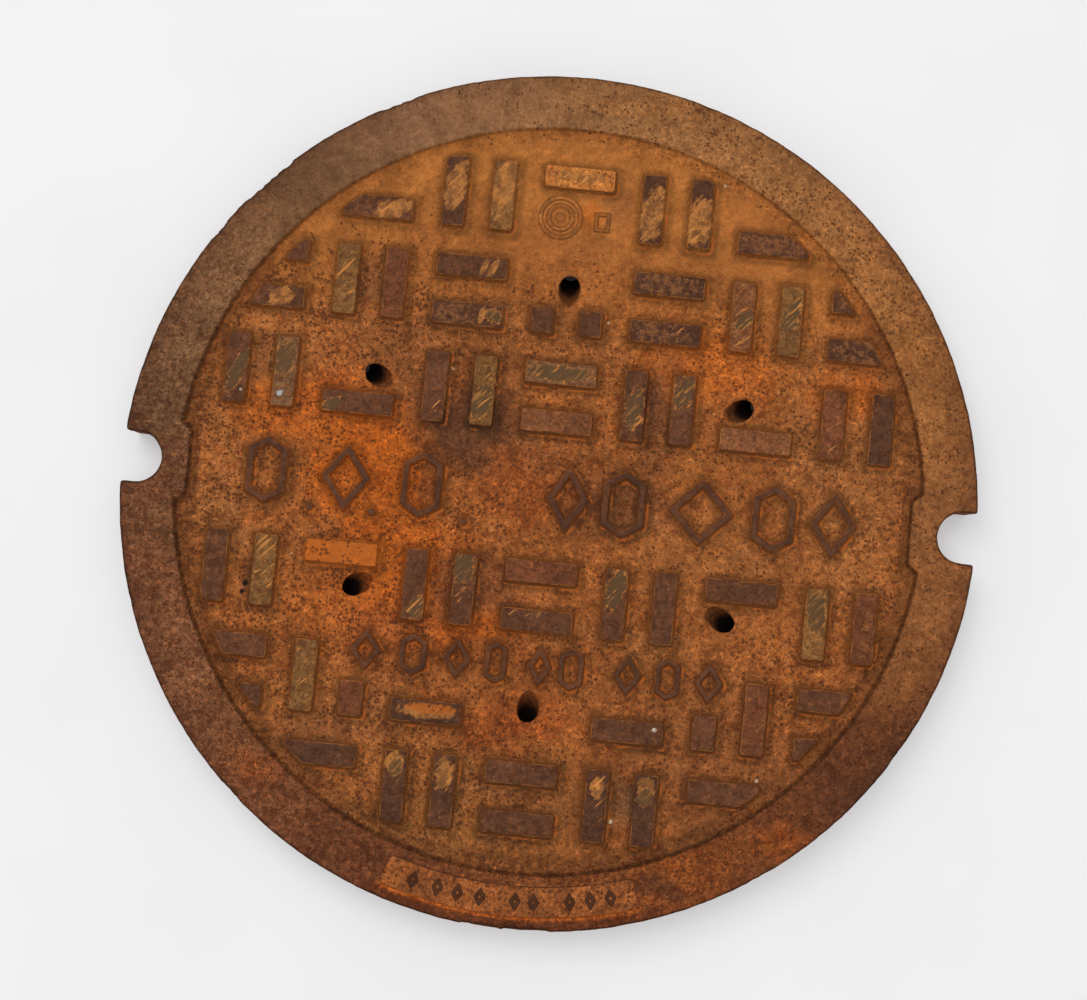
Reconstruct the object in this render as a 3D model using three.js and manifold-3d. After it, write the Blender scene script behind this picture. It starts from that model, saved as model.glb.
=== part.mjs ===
// Street manhole cover: one round grey-iron casting, shown lying flat with its face up.
//
// Frame: millimetres, +Z up, X along the rows of the face pattern, -Y towards the rim
// plaque. The origin is the centre of the rim's underside, the plane the cover seats on.
import * as THREE from 'three';
import { mergeVertices } from 'three/addons/utils/BufferGeometryUtils.js';
import Module from 'manifold-3d';

// ---- Disc and rim ---------------------------------------------------------------------
const COVER_RADIUS = 343;
const RIM_TOP = 43;
const RIM_INNER_RADIUS = 300;
const RIM_SLOPE_FOOT_RADIUS = 291;
const RIM_EDGE_BEVEL = 1.5;
const RIM_SIDE_DRAFT = 2;
const RIM_UNDERSIDE_RADIUS = 298;
const FIELD_TOP = 38;
const FIELD_UNDERSIDE = 8;
const ROUND_SEGMENTS = 180;

// ---- Lifting notches, one at each end of X --------------------------------------------
const NOTCH_HALF_WIDTH = 20;
const NOTCH_INNER_END = 311.5;
const NOTCH_PAD_HALF_LENGTH = 25;
const NOTCH_PAD_EDGE = 290;
const NOTCH_PAD_SLOPE = 8;

// ---- Vent holes, slanting outwards as they go down ------------------------------------
const VENT_ANGLES_DEG = [30, 90, 150, 210, 270, 330];
const VENT_MOUTH = { radius: 167.5, halfRadial: 12.5, halfAcross: 8.5 };
const VENT_FOOT = { radius: 191, halfRadial: 8.5, halfAcross: 7.5 };
const VENT_SEGMENTS = 20;

// ---- Basket-weave tread ---------------------------------------------------------------
const CELL_PITCH = 80;
const CELLS_EACH_WAY = 3;
const BAR_LENGTH = 56;
const BAR_WIDTH = 17;
const BAR_OFFSET = 19.5;
const BAR_DRAFT = 1.4;
const TREAD_RADIUS = 287;
const OUTERMOST_BAR_CENTRE = 302;

// Bars that make way for the vent holes, the ornament bands and the round boss, by
// cell "column,row". `side` is -1 for the lower or left bar of the pair and 1 for the other.
const LEFT_OUT = {
  '0,3': [-1],
  '-2,1': [1],
  '2,1': [1],
  '-2,-1': [-1],
  '2,-1': [-1],
  '-1,-2': [1],
  '1,-2': [1],
  '0,-2': [-1, 1],
};
// Upright bars that are cast short: only their lower `length` is there.
const CUT_SHORT = {
  '0,2': { sides: [-1, 1], length: 20 },
  '-2,-2': { sides: [1], length: 27 },
  '2,-2': { sides: [-1], length: 27 },
};

// ---- Raised ornaments: thin outlines of lozenges and stretched hexagons ----------------
const ORNAMENT_RISE = 4;
const MIDDLE_BAND = {
  centreY: 0,
  height: 54,
  stroke: 5,
  figures: [
    { x: -227, width: 32, shape: 'hexagon' },
    { x: -163, width: 40, shape: 'lozenge' },
    { x: -102, width: 32, shape: 'hexagon' },
    { x: 15, width: 34, shape: 'lozenge' },
    { x: 60, width: 34, shape: 'hexagon' },
    { x: 122, width: 52, shape: 'lozenge' },
    { x: 180, width: 34, shape: 'hexagon' },
    { x: 228, width: 38, shape: 'lozenge' },
  ],
};
const LOWER_BAND = {
  centreY: -135,
  height: 34,
  stroke: 4.5,
  figures: [
    { x: -133, width: 26, shape: 'lozenge' },
    { x: -95, width: 22, shape: 'hexagon' },
    { x: -60, width: 24, shape: 'lozenge' },
    { x: -29, width: 18, shape: 'hexagon' },
    { x: 6, width: 20, shape: 'lozenge' },
    { x: 31, width: 20, shape: 'hexagon' },
    { x: 76, width: 24, shape: 'lozenge' },
    { x: 108, width: 20, shape: 'hexagon' },
    { x: 141, width: 24, shape: 'lozenge' },
  ],
};
const PIP_RADIUS = 3;
const PIP_RISE = 2.5;
const PIP_PLACES = [
  [-190, -26],
  [-140, -26],
  [-66, -26],
];

// ---- Round boss and small square frame near the top of the field ----------------------
const BOSS_CENTRE = [-13, 227];
const BOSS_RISE = 1.2;
const BOSS_RINGS = [
  [14.5, 18],
  [8, 11.5],
];
const BOSS_DOT_RADIUS = 4;
const SMALL_FRAME = { x: 21, y: 226, width: 13, height: 16, wall: 3, rise: 1.5 };

// ---- Plaque on the rim, with a row of small raised lozenges ----------------------------
const PLAQUE_INNER_RADIUS = 308.5;
const PLAQUE_OUTER_RADIUS = 331.5;
const PLAQUE_HALF_ANGLE_DEG = 18;
const PLAQUE_RISE = 1;
const PLAQUE_MARK_ANGLES_DEG = [-13.8, -10.2, -7.3, -4.1, 0.9, 3.5, 8.6, 11.5, 14.4];
const PLAQUE_MARK = { radius: 320, width: 9, height: 14, stroke: 2.2, rise: 0.8 };

// ---- Underside: hub and radial ribs, clear of the plane the rim seats on ---------------
const RIB_FOOT = 2.5;
const RIB_WIDTH = 14;
const RIB_DRAFT = 2;
const RIB_ANGLES_DEG = [0, 60, 120, 180, 240, 300];
const HUB_RADIUS = 48;

// Raised features start this far inside the metal, so that they join it cleanly.
const ROOT = 1;

const wasm = await Module();
wasm.setup();

// A closed three.js geometry as a solid that can be joined and cut.
function solidOf(geometry) {
  geometry.deleteAttribute('normal');
  geometry.deleteAttribute('uv');
  const merged = mergeVertices(geometry, 1e-4);
  const corners = merged.index.array;
  const triVerts = [];
  for (let i = 0; i < corners.length; i += 3) {
    const [a, b, c] = corners.subarray(i, i + 3);
    if (a !== b && b !== c && c !== a) {
      triVerts.push(a, b, c);
    }
  }
  return new wasm.Manifold(
    new wasm.Mesh({
      numProp: 3,
      vertProperties: new Float32Array(merged.attributes.position.array),
      triVerts: new Uint32Array(triVerts),
    }),
  );
}

function geometryOf(solid) {
  const mesh = solid.getMesh();
  const geometry = new THREE.BufferGeometry();
  geometry.setAttribute('position', new THREE.BufferAttribute(mesh.vertProperties, 3));
  geometry.setIndex(new THREE.BufferAttribute(mesh.triVerts, 1));
  geometry.computeVertexNormals();
  return geometry;
}

function joined(solids) {
  return solids.reduce((whole, next) => whole.add(next));
}

// A solid of revolution about Z from an outline of [radius, height] pairs, listed
// anticlockwise as seen with the radius to the right and the height upwards.
function turned(outline, segments = ROUND_SEGMENTS) {
  const points = outline.map(([radius, height]) => new THREE.Vector2(radius, height));
  return new THREE.LatheGeometry(points, segments).rotateX(Math.PI / 2);
}

// A round disc or plug about Z between two heights.
function disc(radius, bottom, top, segments) {
  const geometry = new THREE.CylinderGeometry(radius, radius, top - bottom, segments);
  return geometry.rotateX(Math.PI / 2).translate(0, 0, (top + bottom) / 2);
}

// A flat ring about Z between two heights.
function flatRing(inner, outer, bottom, top, segments) {
  const corners = [
    [inner, bottom],
    [outer, bottom],
    [outer, top],
    [inner, top],
    [inner, bottom],
  ];
  return turned(corners, segments);
}

// A block whose sides lean inwards, standing between two heights. `length` and `width`
// are those of its narrow end, which is the upper one unless `narrowEnd` says 'lower'.
function draftedBlock(length, width, bottom, top, draft, narrowEnd = 'upper') {
  const height = top - bottom;
  const geometry = new THREE.BoxGeometry(length, width, height);
  const position = geometry.attributes.position;
  const wideSign = narrowEnd === 'upper' ? -1 : 1;
  for (let i = 0; i < position.count; i += 1) {
    if (Math.sign(position.getZ(i)) === wideSign) {
      position.setX(i, position.getX(i) + Math.sign(position.getX(i)) * draft);
      position.setY(i, position.getY(i) + Math.sign(position.getY(i)) * draft);
    }
  }
  return geometry.translate(0, 0, (top + bottom) / 2);
}

function discAndRim() {
  const outline = [
    [0, FIELD_UNDERSIDE],
    [RIM_UNDERSIDE_RADIUS - RIM_SIDE_DRAFT, FIELD_UNDERSIDE],
    [RIM_UNDERSIDE_RADIUS, 0],
    [COVER_RADIUS - RIM_SIDE_DRAFT, 0],
    [COVER_RADIUS, RIM_TOP - RIM_EDGE_BEVEL],
    [COVER_RADIUS - RIM_EDGE_BEVEL, RIM_TOP],
    [RIM_INNER_RADIUS, RIM_TOP],
    [RIM_SLOPE_FOOT_RADIUS, FIELD_TOP],
    [0, FIELD_TOP],
  ];
  return solidOf(turned(outline));
}

// ---- Tread bars -----------------------------------------------------------------------
// Upright pairs alternate with lying pairs from cell to cell. The middle row is empty.
function treadBarPlaces() {
  const places = [];
  for (let row = -CELLS_EACH_WAY; row <= CELLS_EACH_WAY; row += 1) {
    for (let column = -CELLS_EACH_WAY; column <= CELLS_EACH_WAY; column += 1) {
      const cell = `${column},${row}`;
      const upright = (column + row) % 2 === 0;
      for (const side of [-1, 1]) {
        const place = {
          x: CELL_PITCH * column + (upright ? side * BAR_OFFSET : 0),
          y: CELL_PITCH * row + (upright ? 0 : side * BAR_OFFSET),
          length: BAR_LENGTH,
          upright,
        };
        const short = CUT_SHORT[cell];
        if (short?.sides.includes(side)) {
          place.y -= (BAR_LENGTH - short.length) / 2;
          place.length = short.length;
        }
        const leftOut = row === 0 || LEFT_OUT[cell]?.includes(side);
        if (!leftOut && Math.hypot(place.x, place.y) < OUTERMOST_BAR_CENTRE) {
          places.push(place);
        }
      }
    }
  }
  return places;
}

function treadBar({ x, y, length, upright }) {
  const bar = draftedBlock(length, BAR_WIDTH, FIELD_TOP - ROOT, RIM_TOP, BAR_DRAFT);
  if (upright) {
    bar.rotateZ(Math.PI / 2);
  }
  return solidOf(bar.translate(x, y, 0));
}

// The bars stop at a circle just inside the rim's slope.
function tread() {
  const outline = [
    [0, FIELD_TOP - ROOT],
    [TREAD_RADIUS + BAR_DRAFT, FIELD_TOP - ROOT],
    [TREAD_RADIUS, RIM_TOP],
    [0, RIM_TOP],
  ];
  const limit = solidOf(turned(outline));
  return joined(treadBarPlaces().map(treadBar)).intersect(limit);
}

// ---- Raised ornaments -----------------------------------------------------------------
function figureCorners(shape, width, height) {
  const w = width / 2;
  const h = height / 2;
  if (shape === 'lozenge') {
    return [[0, -h], [w, 0], [0, h], [-w, 0]];
  }
  const shoulder = h - w * 0.6;
  return [[0, -h], [w, -shoulder], [w, shoulder], [0, h], [-w, shoulder], [-w, -shoulder]];
}

function closedPath(path, corners) {
  path.setFromPoints(corners.map(([x, y]) => new THREE.Vector2(x, y)));
  path.closePath();
  return path;
}

// A raised outline of constant stroke around a lozenge or a stretched hexagon.
function outlineFigure({ shape, width, height, stroke, bottom, top }) {
  const halfAngle = Math.atan2(width, height);
  const tipInset = shape === 'lozenge' ? stroke / Math.sin(halfAngle) : stroke * 1.2;
  const innerWidth = shape === 'lozenge'
    ? width - (2 * stroke) / Math.cos(halfAngle)
    : width - 2 * stroke;
  const outline = closedPath(new THREE.Shape(), figureCorners(shape, width, height));
  const inner = figureCorners(shape, innerWidth, height - 2 * tipInset);
  outline.holes.push(closedPath(new THREE.Path(), inner));
  const options = { depth: top - bottom, bevelEnabled: false, curveSegments: 1 };
  return new THREE.ExtrudeGeometry(outline, options).translate(0, 0, bottom);
}

function ornamentBand({ centreY, height, stroke, figures }) {
  return joined(
    figures.map(({ x, width, shape }) => {
      const bottom = FIELD_TOP - ROOT;
      const top = FIELD_TOP + ORNAMENT_RISE;
      const figure = outlineFigure({ shape, width, height, stroke, bottom, top });
      return solidOf(figure.translate(x, centreY, 0));
    }),
  );
}

function pips() {
  return joined(
    PIP_PLACES.map(([x, y]) => {
      const pip = disc(PIP_RADIUS, FIELD_TOP - ROOT, FIELD_TOP + PIP_RISE, 12);
      return solidOf(pip.translate(x, y, 0));
    }),
  );
}

function roundBoss() {
  const [x, y] = BOSS_CENTRE;
  const bottom = FIELD_TOP - ROOT;
  const top = FIELD_TOP + BOSS_RISE;
  const rings = BOSS_RINGS.map(([inner, outer]) => flatRing(inner, outer, bottom, top, 32));
  const pieces = [...rings, disc(BOSS_DOT_RADIUS, bottom, top, 16)];
  return joined(pieces.map((piece) => solidOf(piece.translate(x, y, 0))));
}

function smallFrame() {
  const { x, y, width, height, wall, rise } = SMALL_FRAME;
  const bottom = FIELD_TOP - ROOT;
  const top = FIELD_TOP + rise;
  const block = draftedBlock(width, height, bottom, top, 0);
  const window = draftedBlock(width - 2 * wall, height - 2 * wall, FIELD_TOP, top + ROOT, 0);
  return solidOf(block.translate(x, y, 0)).subtract(solidOf(window.translate(x, y, 0)));
}

// ---- Rim plaque -----------------------------------------------------------------------
function rimPlaque() {
  const middle = -Math.PI / 2;
  const half = THREE.MathUtils.degToRad(PLAQUE_HALF_ANGLE_DEG);
  const outline = new THREE.Shape();
  outline.absarc(0, 0, PLAQUE_OUTER_RADIUS, middle - half, middle + half, false);
  outline.absarc(0, 0, PLAQUE_INNER_RADIUS, middle + half, middle - half, true);
  const options = { depth: ROOT + PLAQUE_RISE, bevelEnabled: false, curveSegments: 24 };
  const plate = new THREE.ExtrudeGeometry(outline, options).translate(0, 0, RIM_TOP - ROOT);
  const marks = PLAQUE_MARK_ANGLES_DEG.map((degrees) => {
    const mark = outlineFigure({
      ...PLAQUE_MARK,
      shape: 'lozenge',
      bottom: RIM_TOP,
      top: RIM_TOP + PLAQUE_RISE + PLAQUE_MARK.rise,
    });
    mark.translate(0, -PLAQUE_MARK.radius, 0);
    return solidOf(mark.rotateZ(THREE.MathUtils.degToRad(degrees)));
  });
  return joined([solidOf(plate), ...marks]);
}

// ---- Notches --------------------------------------------------------------------------
// Where a notch bites into the rim, the rim's inner edge steps inwards to keep a wall.
function notchPad() {
  const reach = RIM_INNER_RADIUS + 5 - NOTCH_PAD_EDGE;
  const pad = draftedBlock(
    reach,
    2 * NOTCH_PAD_HALF_LENGTH,
    FIELD_TOP,
    RIM_TOP,
    NOTCH_PAD_SLOPE,
  );
  return pad.translate(NOTCH_PAD_EDGE + reach / 2, 0, 0);
}

function notchCutter() {
  const round = disc(NOTCH_HALF_WIDTH, -ROOT, RIM_TOP + ROOT, 40);
  const centreX = NOTCH_INNER_END + NOTCH_HALF_WIDTH;
  const mouth = draftedBlock(60, 2 * NOTCH_HALF_WIDTH, -ROOT, RIM_TOP + ROOT, 0);
  return solidOf(round.translate(centreX, 0, 0)).add(
    solidOf(mouth.translate(centreX + 30, 0, 0)),
  );
}

// ---- Vent holes -----------------------------------------------------------------------
// An oval plug along +X from the mouth at the field's top to the smaller foot below it,
// carried on a little past both faces.
function ventCutter(degrees) {
  const depth = FIELD_TOP - FIELD_UNDERSIDE;
  const past = ROOT / depth;
  const plug = new THREE.CylinderGeometry(1, 1, 1, VENT_SEGMENTS).rotateX(Math.PI / 2);
  const position = plug.attributes.position;
  for (let i = 0; i < position.count; i += 1) {
    const t = position.getZ(i) > 0 ? -past : 1 + past;
    const radius = THREE.MathUtils.lerp(VENT_MOUTH.radius, VENT_FOOT.radius, t);
    const halfRadial = THREE.MathUtils.lerp(VENT_MOUTH.halfRadial, VENT_FOOT.halfRadial, t);
    const halfAcross = THREE.MathUtils.lerp(VENT_MOUTH.halfAcross, VENT_FOOT.halfAcross, t);
    position.setXYZ(
      i,
      radius + position.getX(i) * halfRadial,
      position.getY(i) * halfAcross,
      FIELD_TOP - t * depth,
    );
  }
  return solidOf(plug.rotateZ(THREE.MathUtils.degToRad(degrees)));
}

// ---- Underside ------------------------------------------------------------------------
function hubAndRibs() {
  const top = FIELD_UNDERSIDE + ROOT;
  const hub = solidOf(disc(HUB_RADIUS, RIB_FOOT, top, 60));
  const length = RIM_UNDERSIDE_RADIUS + 4;
  const ribs = RIB_ANGLES_DEG.map((degrees) => {
    const rib = draftedBlock(length, RIB_WIDTH - 2 * RIB_DRAFT, RIB_FOOT, top, RIB_DRAFT, 'lower');
    rib.translate(length / 2, 0, 0);
    return solidOf(rib.rotateZ(THREE.MathUtils.degToRad(degrees)));
  });
  return joined([hub, ...ribs]);
}

function coverCasting() {
  const halfTurn = Math.PI;
  const whole = joined([
    discAndRim(),
    hubAndRibs(),
    tread(),
    ornamentBand(MIDDLE_BAND),
    ornamentBand(LOWER_BAND),
    pips(),
    roundBoss(),
    smallFrame(),
    rimPlaque(),
    solidOf(notchPad()),
    solidOf(notchPad().rotateZ(halfTurn)),
  ]);
  const cuts = joined([
    notchCutter(),
    notchCutter().rotate([0, 0, 180]),
    ...VENT_ANGLES_DEG.map(ventCutter),
  ]);
  return whole.subtract(cuts);
}

const rustedIron = new THREE.MeshStandardMaterial({
  color: 0x8a4a22,
  roughness: 0.85,
  metalness: 0.1,
});

const casting = new THREE.Mesh(geometryOf(coverCasting()), rustedIron);
casting.name = 'cover_casting';

const manholeCover = new THREE.Group();
manholeCover.name = 'manhole_cover';
manholeCover.add(casting);

export default manholeCover;
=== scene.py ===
"""Looks of a round cast-iron manhole cover, rusted all over and lying flat with its face up.

The casting is divided into closed pieces by area (field, rim, tread bars, ornaments, ribs).
Lengths in this script are millimetres in the CAD frame; `Skin.piece` turns them to metres.
"""

import functools
import math

import bmesh
import bpy
import numpy as np
from mathutils import Matrix, Vector


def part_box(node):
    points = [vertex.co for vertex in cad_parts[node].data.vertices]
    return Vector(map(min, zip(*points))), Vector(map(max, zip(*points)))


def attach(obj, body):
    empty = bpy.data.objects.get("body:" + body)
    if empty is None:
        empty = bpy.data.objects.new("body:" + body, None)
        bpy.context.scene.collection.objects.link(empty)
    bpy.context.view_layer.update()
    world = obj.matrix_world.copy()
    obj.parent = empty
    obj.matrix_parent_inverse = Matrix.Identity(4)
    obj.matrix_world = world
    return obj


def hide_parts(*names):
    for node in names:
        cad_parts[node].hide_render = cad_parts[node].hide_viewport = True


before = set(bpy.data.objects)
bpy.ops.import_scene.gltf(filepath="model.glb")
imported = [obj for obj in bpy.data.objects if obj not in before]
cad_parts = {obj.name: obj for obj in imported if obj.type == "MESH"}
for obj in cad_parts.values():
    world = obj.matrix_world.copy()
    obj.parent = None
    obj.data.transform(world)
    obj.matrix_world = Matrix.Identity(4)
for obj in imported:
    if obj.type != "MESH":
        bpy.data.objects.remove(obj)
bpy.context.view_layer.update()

# ---- Driving dimensions ----
MM = 0.001
LOW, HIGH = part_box("cover_casting")
COVER_RADIUS = (HIGH.y - LOW.y) / 2 / MM
RIM_TOP = 43.0
RIM_INNER_RADIUS = 300.0
SLOPE_FOOT_RADIUS = 291.0
SKIRT_RADIUS = 298.0
FIELD_TOP = 38.0
FIELD_UNDERSIDE = 8.0
FIELD_RADIUS = 294.0
RIB_FOOT = 2.5

NOTCH_HALF_WIDTH = 20.0
NOTCH_INNER_END = 311.5
PAD_EDGE = 290.0
PAD_FOOT = 282.0
PAD_HALF_LENGTH = 25.0
# The notch and its pad lie within this angle of the X axis.
NOTCH_WINDOW_DEG = 9.0

VENT_ANGLES_DEG = (30, 90, 150, 210, 270, 330)
# Distance from the cover's middle, half length and half width of a vent at each end.
VENT_MOUTH = (167.5, 12.5, 8.5)
VENT_FOOT = (191.0, 8.5, 7.5)

CELL_PITCH = 80.0
BAR_LENGTH = 56.0
BAR_WIDTH = 17.0
BAR_OFFSET = 19.5
TREAD_RADIUS = 287.0
OUTERMOST_BAR_CENTRE = 302.0
# Bars that make way for vents and ornaments: cell column and row, and the sides left out.
LEFT_OUT = {
    (0, 3): (-1,), (-2, 1): (1,), (2, 1): (1,), (-2, -1): (-1,), (2, -1): (-1,),
    (-1, -2): (1,), (1, -2): (1,), (0, -2): (-1, 1),
}
# Length of the bars that are cast short, by cell column, row and side.
CUT_SHORT = {(0, 2, -1): 20, (0, 2, 1): 20, (-2, -2, 1): 27, (2, -2, -1): 27}

# Outline figures: centre x, width and shape of each. The section of their line is given by
# half its width on top and at its foot, and its rise.
MIDDLE_BAND = {
    "y": 0, "height": 54, "stroke": 5, "half_top": 1.9, "half_foot": 3.7, "rise": 4.0,
    "figures": [
        (-227, 32, "hexagon"), (-163, 40, "lozenge"), (-102, 32, "hexagon"), (15, 34, "lozenge"),
        (60, 34, "hexagon"), (122, 52, "lozenge"), (180, 34, "hexagon"), (228, 38, "lozenge"),
    ],
}
LOWER_BAND = {
    "y": -135, "height": 34, "stroke": 4.5, "half_top": 1.5, "half_foot": 3.0, "rise": 3.6,
    "figures": [
        (-133, 26, "lozenge"), (-95, 22, "hexagon"), (-60, 24, "lozenge"), (-29, 18, "hexagon"),
        (6, 20, "lozenge"), (31, 20, "hexagon"), (76, 24, "lozenge"), (108, 20, "hexagon"),
        (141, 24, "lozenge"),
    ],
}
PIP_PLACES = ((-190, -26), (-140, -26), (-66, -26))
PIP_RADIUS = 3.0
PIP_RISE = 2.5
BOSS_CENTRE = (-13.0, 227.0)
BOSS_RING_RADII = (16.25, 9.75)
BOSS_KNOB_RADIUS = 3.6
BOSS_RELIEF = 0.8
# Centre x and y, width and height.
SMALL_FRAME = (21.0, 226.0, 13.0, 16.0)
PLAQUE_RADII = (308.5, 331.5)
PLAQUE_HALF_ANGLE_DEG = 18.0
PLAQUE_RISE = 1.0
PLAQUE_MARK_ANGLES_DEG = (-13.8, -10.2, -7.3, -4.1, 0.9, 3.5, 8.6, 11.5, 14.4)
PLAQUE_MARK_RADIUS = 320.0
PLAQUE_MARK_SIZE = (9, 14)
PLAQUE_MARK_STROKE = 2.4

# ---- Rust colours, as they look in soft white light (sRGB, 0 to 255) ----
RUST = {
    "ochre": (150, 88, 43),
    "golden": (172, 107, 51),
    "tan": (158, 103, 58),
    "orange": (182, 92, 26),
    "ember": (144, 72, 30),
    "umber": (117, 72, 43),
    "dusty": (123, 77, 47),
    "grey_brown": (112, 77, 50),
    "red_brown": (105, 61, 37),
    "purple": (92, 57, 37),
    "deep_purple": (80, 50, 34),
    "olive": (114, 78, 42),
}


def linear(colour):
    """sRGB 0 to 255 to linear 0 to 1."""
    c = np.asarray(colour, float) / 255
    return np.where(c <= 0.04045, c / 12.92, ((c + 0.055) / 1.055) ** 2.4)


def paint(colour):
    return tuple(linear(colour))


# ---- Noise over the plane ----
def noise(x, y, size, seed):
    """Smooth noise from -1 to 1 with features about `size` wide."""
    lattice = np.random.default_rng(seed).uniform(-1, 1, (256, 256))
    u = np.asarray(x, float) / size + 4096
    v = np.asarray(y, float) / size + 4096
    i = np.floor(u).astype(int)
    j = np.floor(v).astype(int)
    fu = u - i
    fv = v - j
    fu = fu * fu * (3 - 2 * fu)
    fv = fv * fv * (3 - 2 * fv)
    i0, i1, j0, j1 = i % 256, (i + 1) % 256, j % 256, (j + 1) % 256
    near = lattice[i0, j0] * (1 - fu) + lattice[i1, j0] * fu
    far = lattice[i0, j1] * (1 - fu) + lattice[i1, j1] * fu
    return near * (1 - fv) + far * fv


def fractal(x, y, seed, layers):
    """Sum of noise layers, each (size, height)."""
    total = 0.0
    for index, (size, height) in enumerate(layers):
        total = total + height * noise(x, y, size, seed + index)
    return total


def wander(points, seed, layers):
    """The same at each of a set of points."""
    return fractal(points[:, 0], points[:, 1], seed, layers)


def radius_of(points):
    return np.hypot(points[:, 0], points[:, 1])


def smooth(value, low, high):
    """Rises smoothly from 0 at `low` to 1 at `high`, or falls if `high` is the smaller."""
    t = np.clip((value - low) / (high - low), 0, 1)
    return t * t * (3 - 2 * t)


# ---- Mesh building ----
class Skin:
    """The vertices, faces and per-vertex values of one piece, gathered part by part."""

    def __init__(self):
        self.points = []
        self.values = []
        self.faces = []
        self.count = 0

    def add(self, points, **values):
        """Adds vertices, with the same `values` for all of them or one each."""
        points = np.asarray(points, float).reshape(-1, 3)
        ids = np.arange(self.count, self.count + len(points))
        self.points.append(points)
        self.values.append(values)
        self.count += len(points)
        return ids

    def at(self, ids):
        return np.concatenate(self.points)[ids]

    def face(self, *corners):
        """Adds faces from columns of vertex ids. A repeated corner makes a triangle."""
        rows = np.stack(corners, 1)
        pinched = (rows == np.roll(rows, -1, axis=1)).any(1)
        self.faces.extend(rows[~pinched].tolist())
        for row in rows[pinched].tolist():
            kept = [a for a, b in zip(row, row[1:] + row[:1]) if a != b]
            if len(kept) > 2:
                self.faces.append(kept)

    def bridge(self, lower, upper, closed=True):
        """Joins two rows of vertices, which run the same way, with quads."""
        lower, upper = np.asarray(lower), np.asarray(upper)
        corners = (lower, np.roll(lower, -1), np.roll(upper, -1), upper)
        if not closed:
            corners = tuple(c[:-1] for c in corners)
        self.face(*corners)

    def cap(self, loop, point, **values):
        """Closes a loop with triangles that meet at a point."""
        tip = self.add([point], **values)
        self.bridge(loop, np.full(len(loop), tip[0]))

    def stitch(self, loop_a, loop_b, centre):
        """Joins two loops of different lengths round the same centre with triangles."""
        all_points = np.concatenate(self.points)

        def turned(loop):
            offset = all_points[loop][:, :2] - centre
            angle = np.mod(np.arctan2(offset[:, 1], offset[:, 0]), 2 * math.pi)
            first = int(np.argmin(angle))
            loop, angle = np.roll(loop, -first), np.roll(angle, -first)
            if np.median(np.diff(angle)) < 0:
                loop, angle = np.roll(loop[::-1], 1), np.roll(angle[::-1], 1)
            return list(loop) + [loop[0]], list(angle) + [angle[0] + 2 * math.pi]

        a, angle_a = turned(np.asarray(loop_a))
        b, angle_b = turned(np.asarray(loop_b))
        i = j = 0
        while i < len(a) - 1 or j < len(b) - 1:
            step_a = j == len(b) - 1 or (i < len(a) - 1 and angle_a[i + 1] <= angle_b[j + 1])
            if step_a:
                self.faces.append([a[i], a[i + 1], b[j]])
                i += 1
            else:
                self.faces.append([a[i], b[j + 1], b[j]])
                j += 1

    def piece(self, name, material, **attributes):
        """Makes the Blender object. `attributes` maps a name to a function of the points."""
        points = np.concatenate(self.points)
        mesh = bpy.data.meshes.new(name)
        mesh.from_pydata(points * MM, [], self.faces)
        mesh.validate()
        work = bmesh.new()
        work.from_mesh(mesh)
        bmesh.ops.recalc_face_normals(work, faces=work.faces)
        work.to_mesh(mesh)
        work.free()
        mesh.shade_smooth()
        stored = sorted({key for values in self.values for key in values})
        for key in stored:
            column = np.concatenate([
                np.broadcast_to(np.asarray(values.get(key, 0.0), float), len(block))
                for block, values in zip(self.points, self.values)
            ])
            attributes[key] = column
        for key, value in attributes.items():
            store(mesh, key, value(points) if callable(value) else value)
        mesh.materials.append(material)
        thing = bpy.data.objects.new(name, mesh)
        bpy.context.scene.collection.objects.link(thing)
        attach(thing, "root")
        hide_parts("cover_casting")
        return thing


def store(mesh, name, value):
    """Stores a number or a colour for each vertex."""
    value = np.asarray(value, np.float32)
    if value.ndim == 1:
        mesh.attributes.new(name, "FLOAT", "POINT").data.foreach_set("value", value)
    else:
        rgba = np.ones((len(value), 4), np.float32)
        rgba[:, :3] = value
        layer = mesh.color_attributes.new(name=name, type="FLOAT_COLOR", domain="POINT")
        layer.data.foreach_set("color", rgba.ravel())


def sweep(skin, rows, skirts=None, closed_section=False):
    """Lofts closed loops and returns each one's vertex ids. `skirts` has a value per loop."""
    skirts = [0.0] * len(rows) if skirts is None else skirts
    ids = [skin.add(row, skirt=skirt) for row, skirt in zip(rows, skirts)]
    for lower, upper in zip(ids, ids[1:]):
        skin.bridge(lower, upper)
    if closed_section:
        skin.bridge(ids[-1], ids[0])
    return ids


# ---- Plane outlines ----
def resampled(polygon, spacing):
    """Points round a closed polygon, evenly spaced, starting at its first corner."""
    polygon = np.asarray(polygon, float)
    closed = np.vstack([polygon, polygon[:1]])
    lengths = np.hypot(*np.diff(closed, axis=0).T)
    reach = np.concatenate([[0], np.cumsum(lengths)])
    count = max(12, int(round(reach[-1] / spacing)))
    places = np.arange(count) * reach[-1] / count
    return np.stack([np.interp(places, reach, closed[:, k]) for k in (0, 1)], 1)


def blurred(loop, width):
    """Rounds the corners of a closed loop: a Gaussian over `width` points each way."""
    reach = int(3 * width) + 1
    weights = np.exp(-0.5 * (np.arange(-reach, reach + 1) / width) ** 2)
    weights /= weights.sum()
    return sum(w * np.roll(loop, k, axis=0) for w, k in zip(weights, range(-reach, reach + 1)))


def outward(loop):
    """Unit normals that point out of a closed anticlockwise loop."""
    along = np.roll(loop, -1, axis=0) - np.roll(loop, 1, axis=0)
    normal = np.stack([along[:, 1], -along[:, 0]], 1)
    return normal / np.linalg.norm(normal, axis=1, keepdims=True)


def on_circle(plan, radius):
    return plan * (radius / np.hypot(*plan.T))[:, None]


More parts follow.
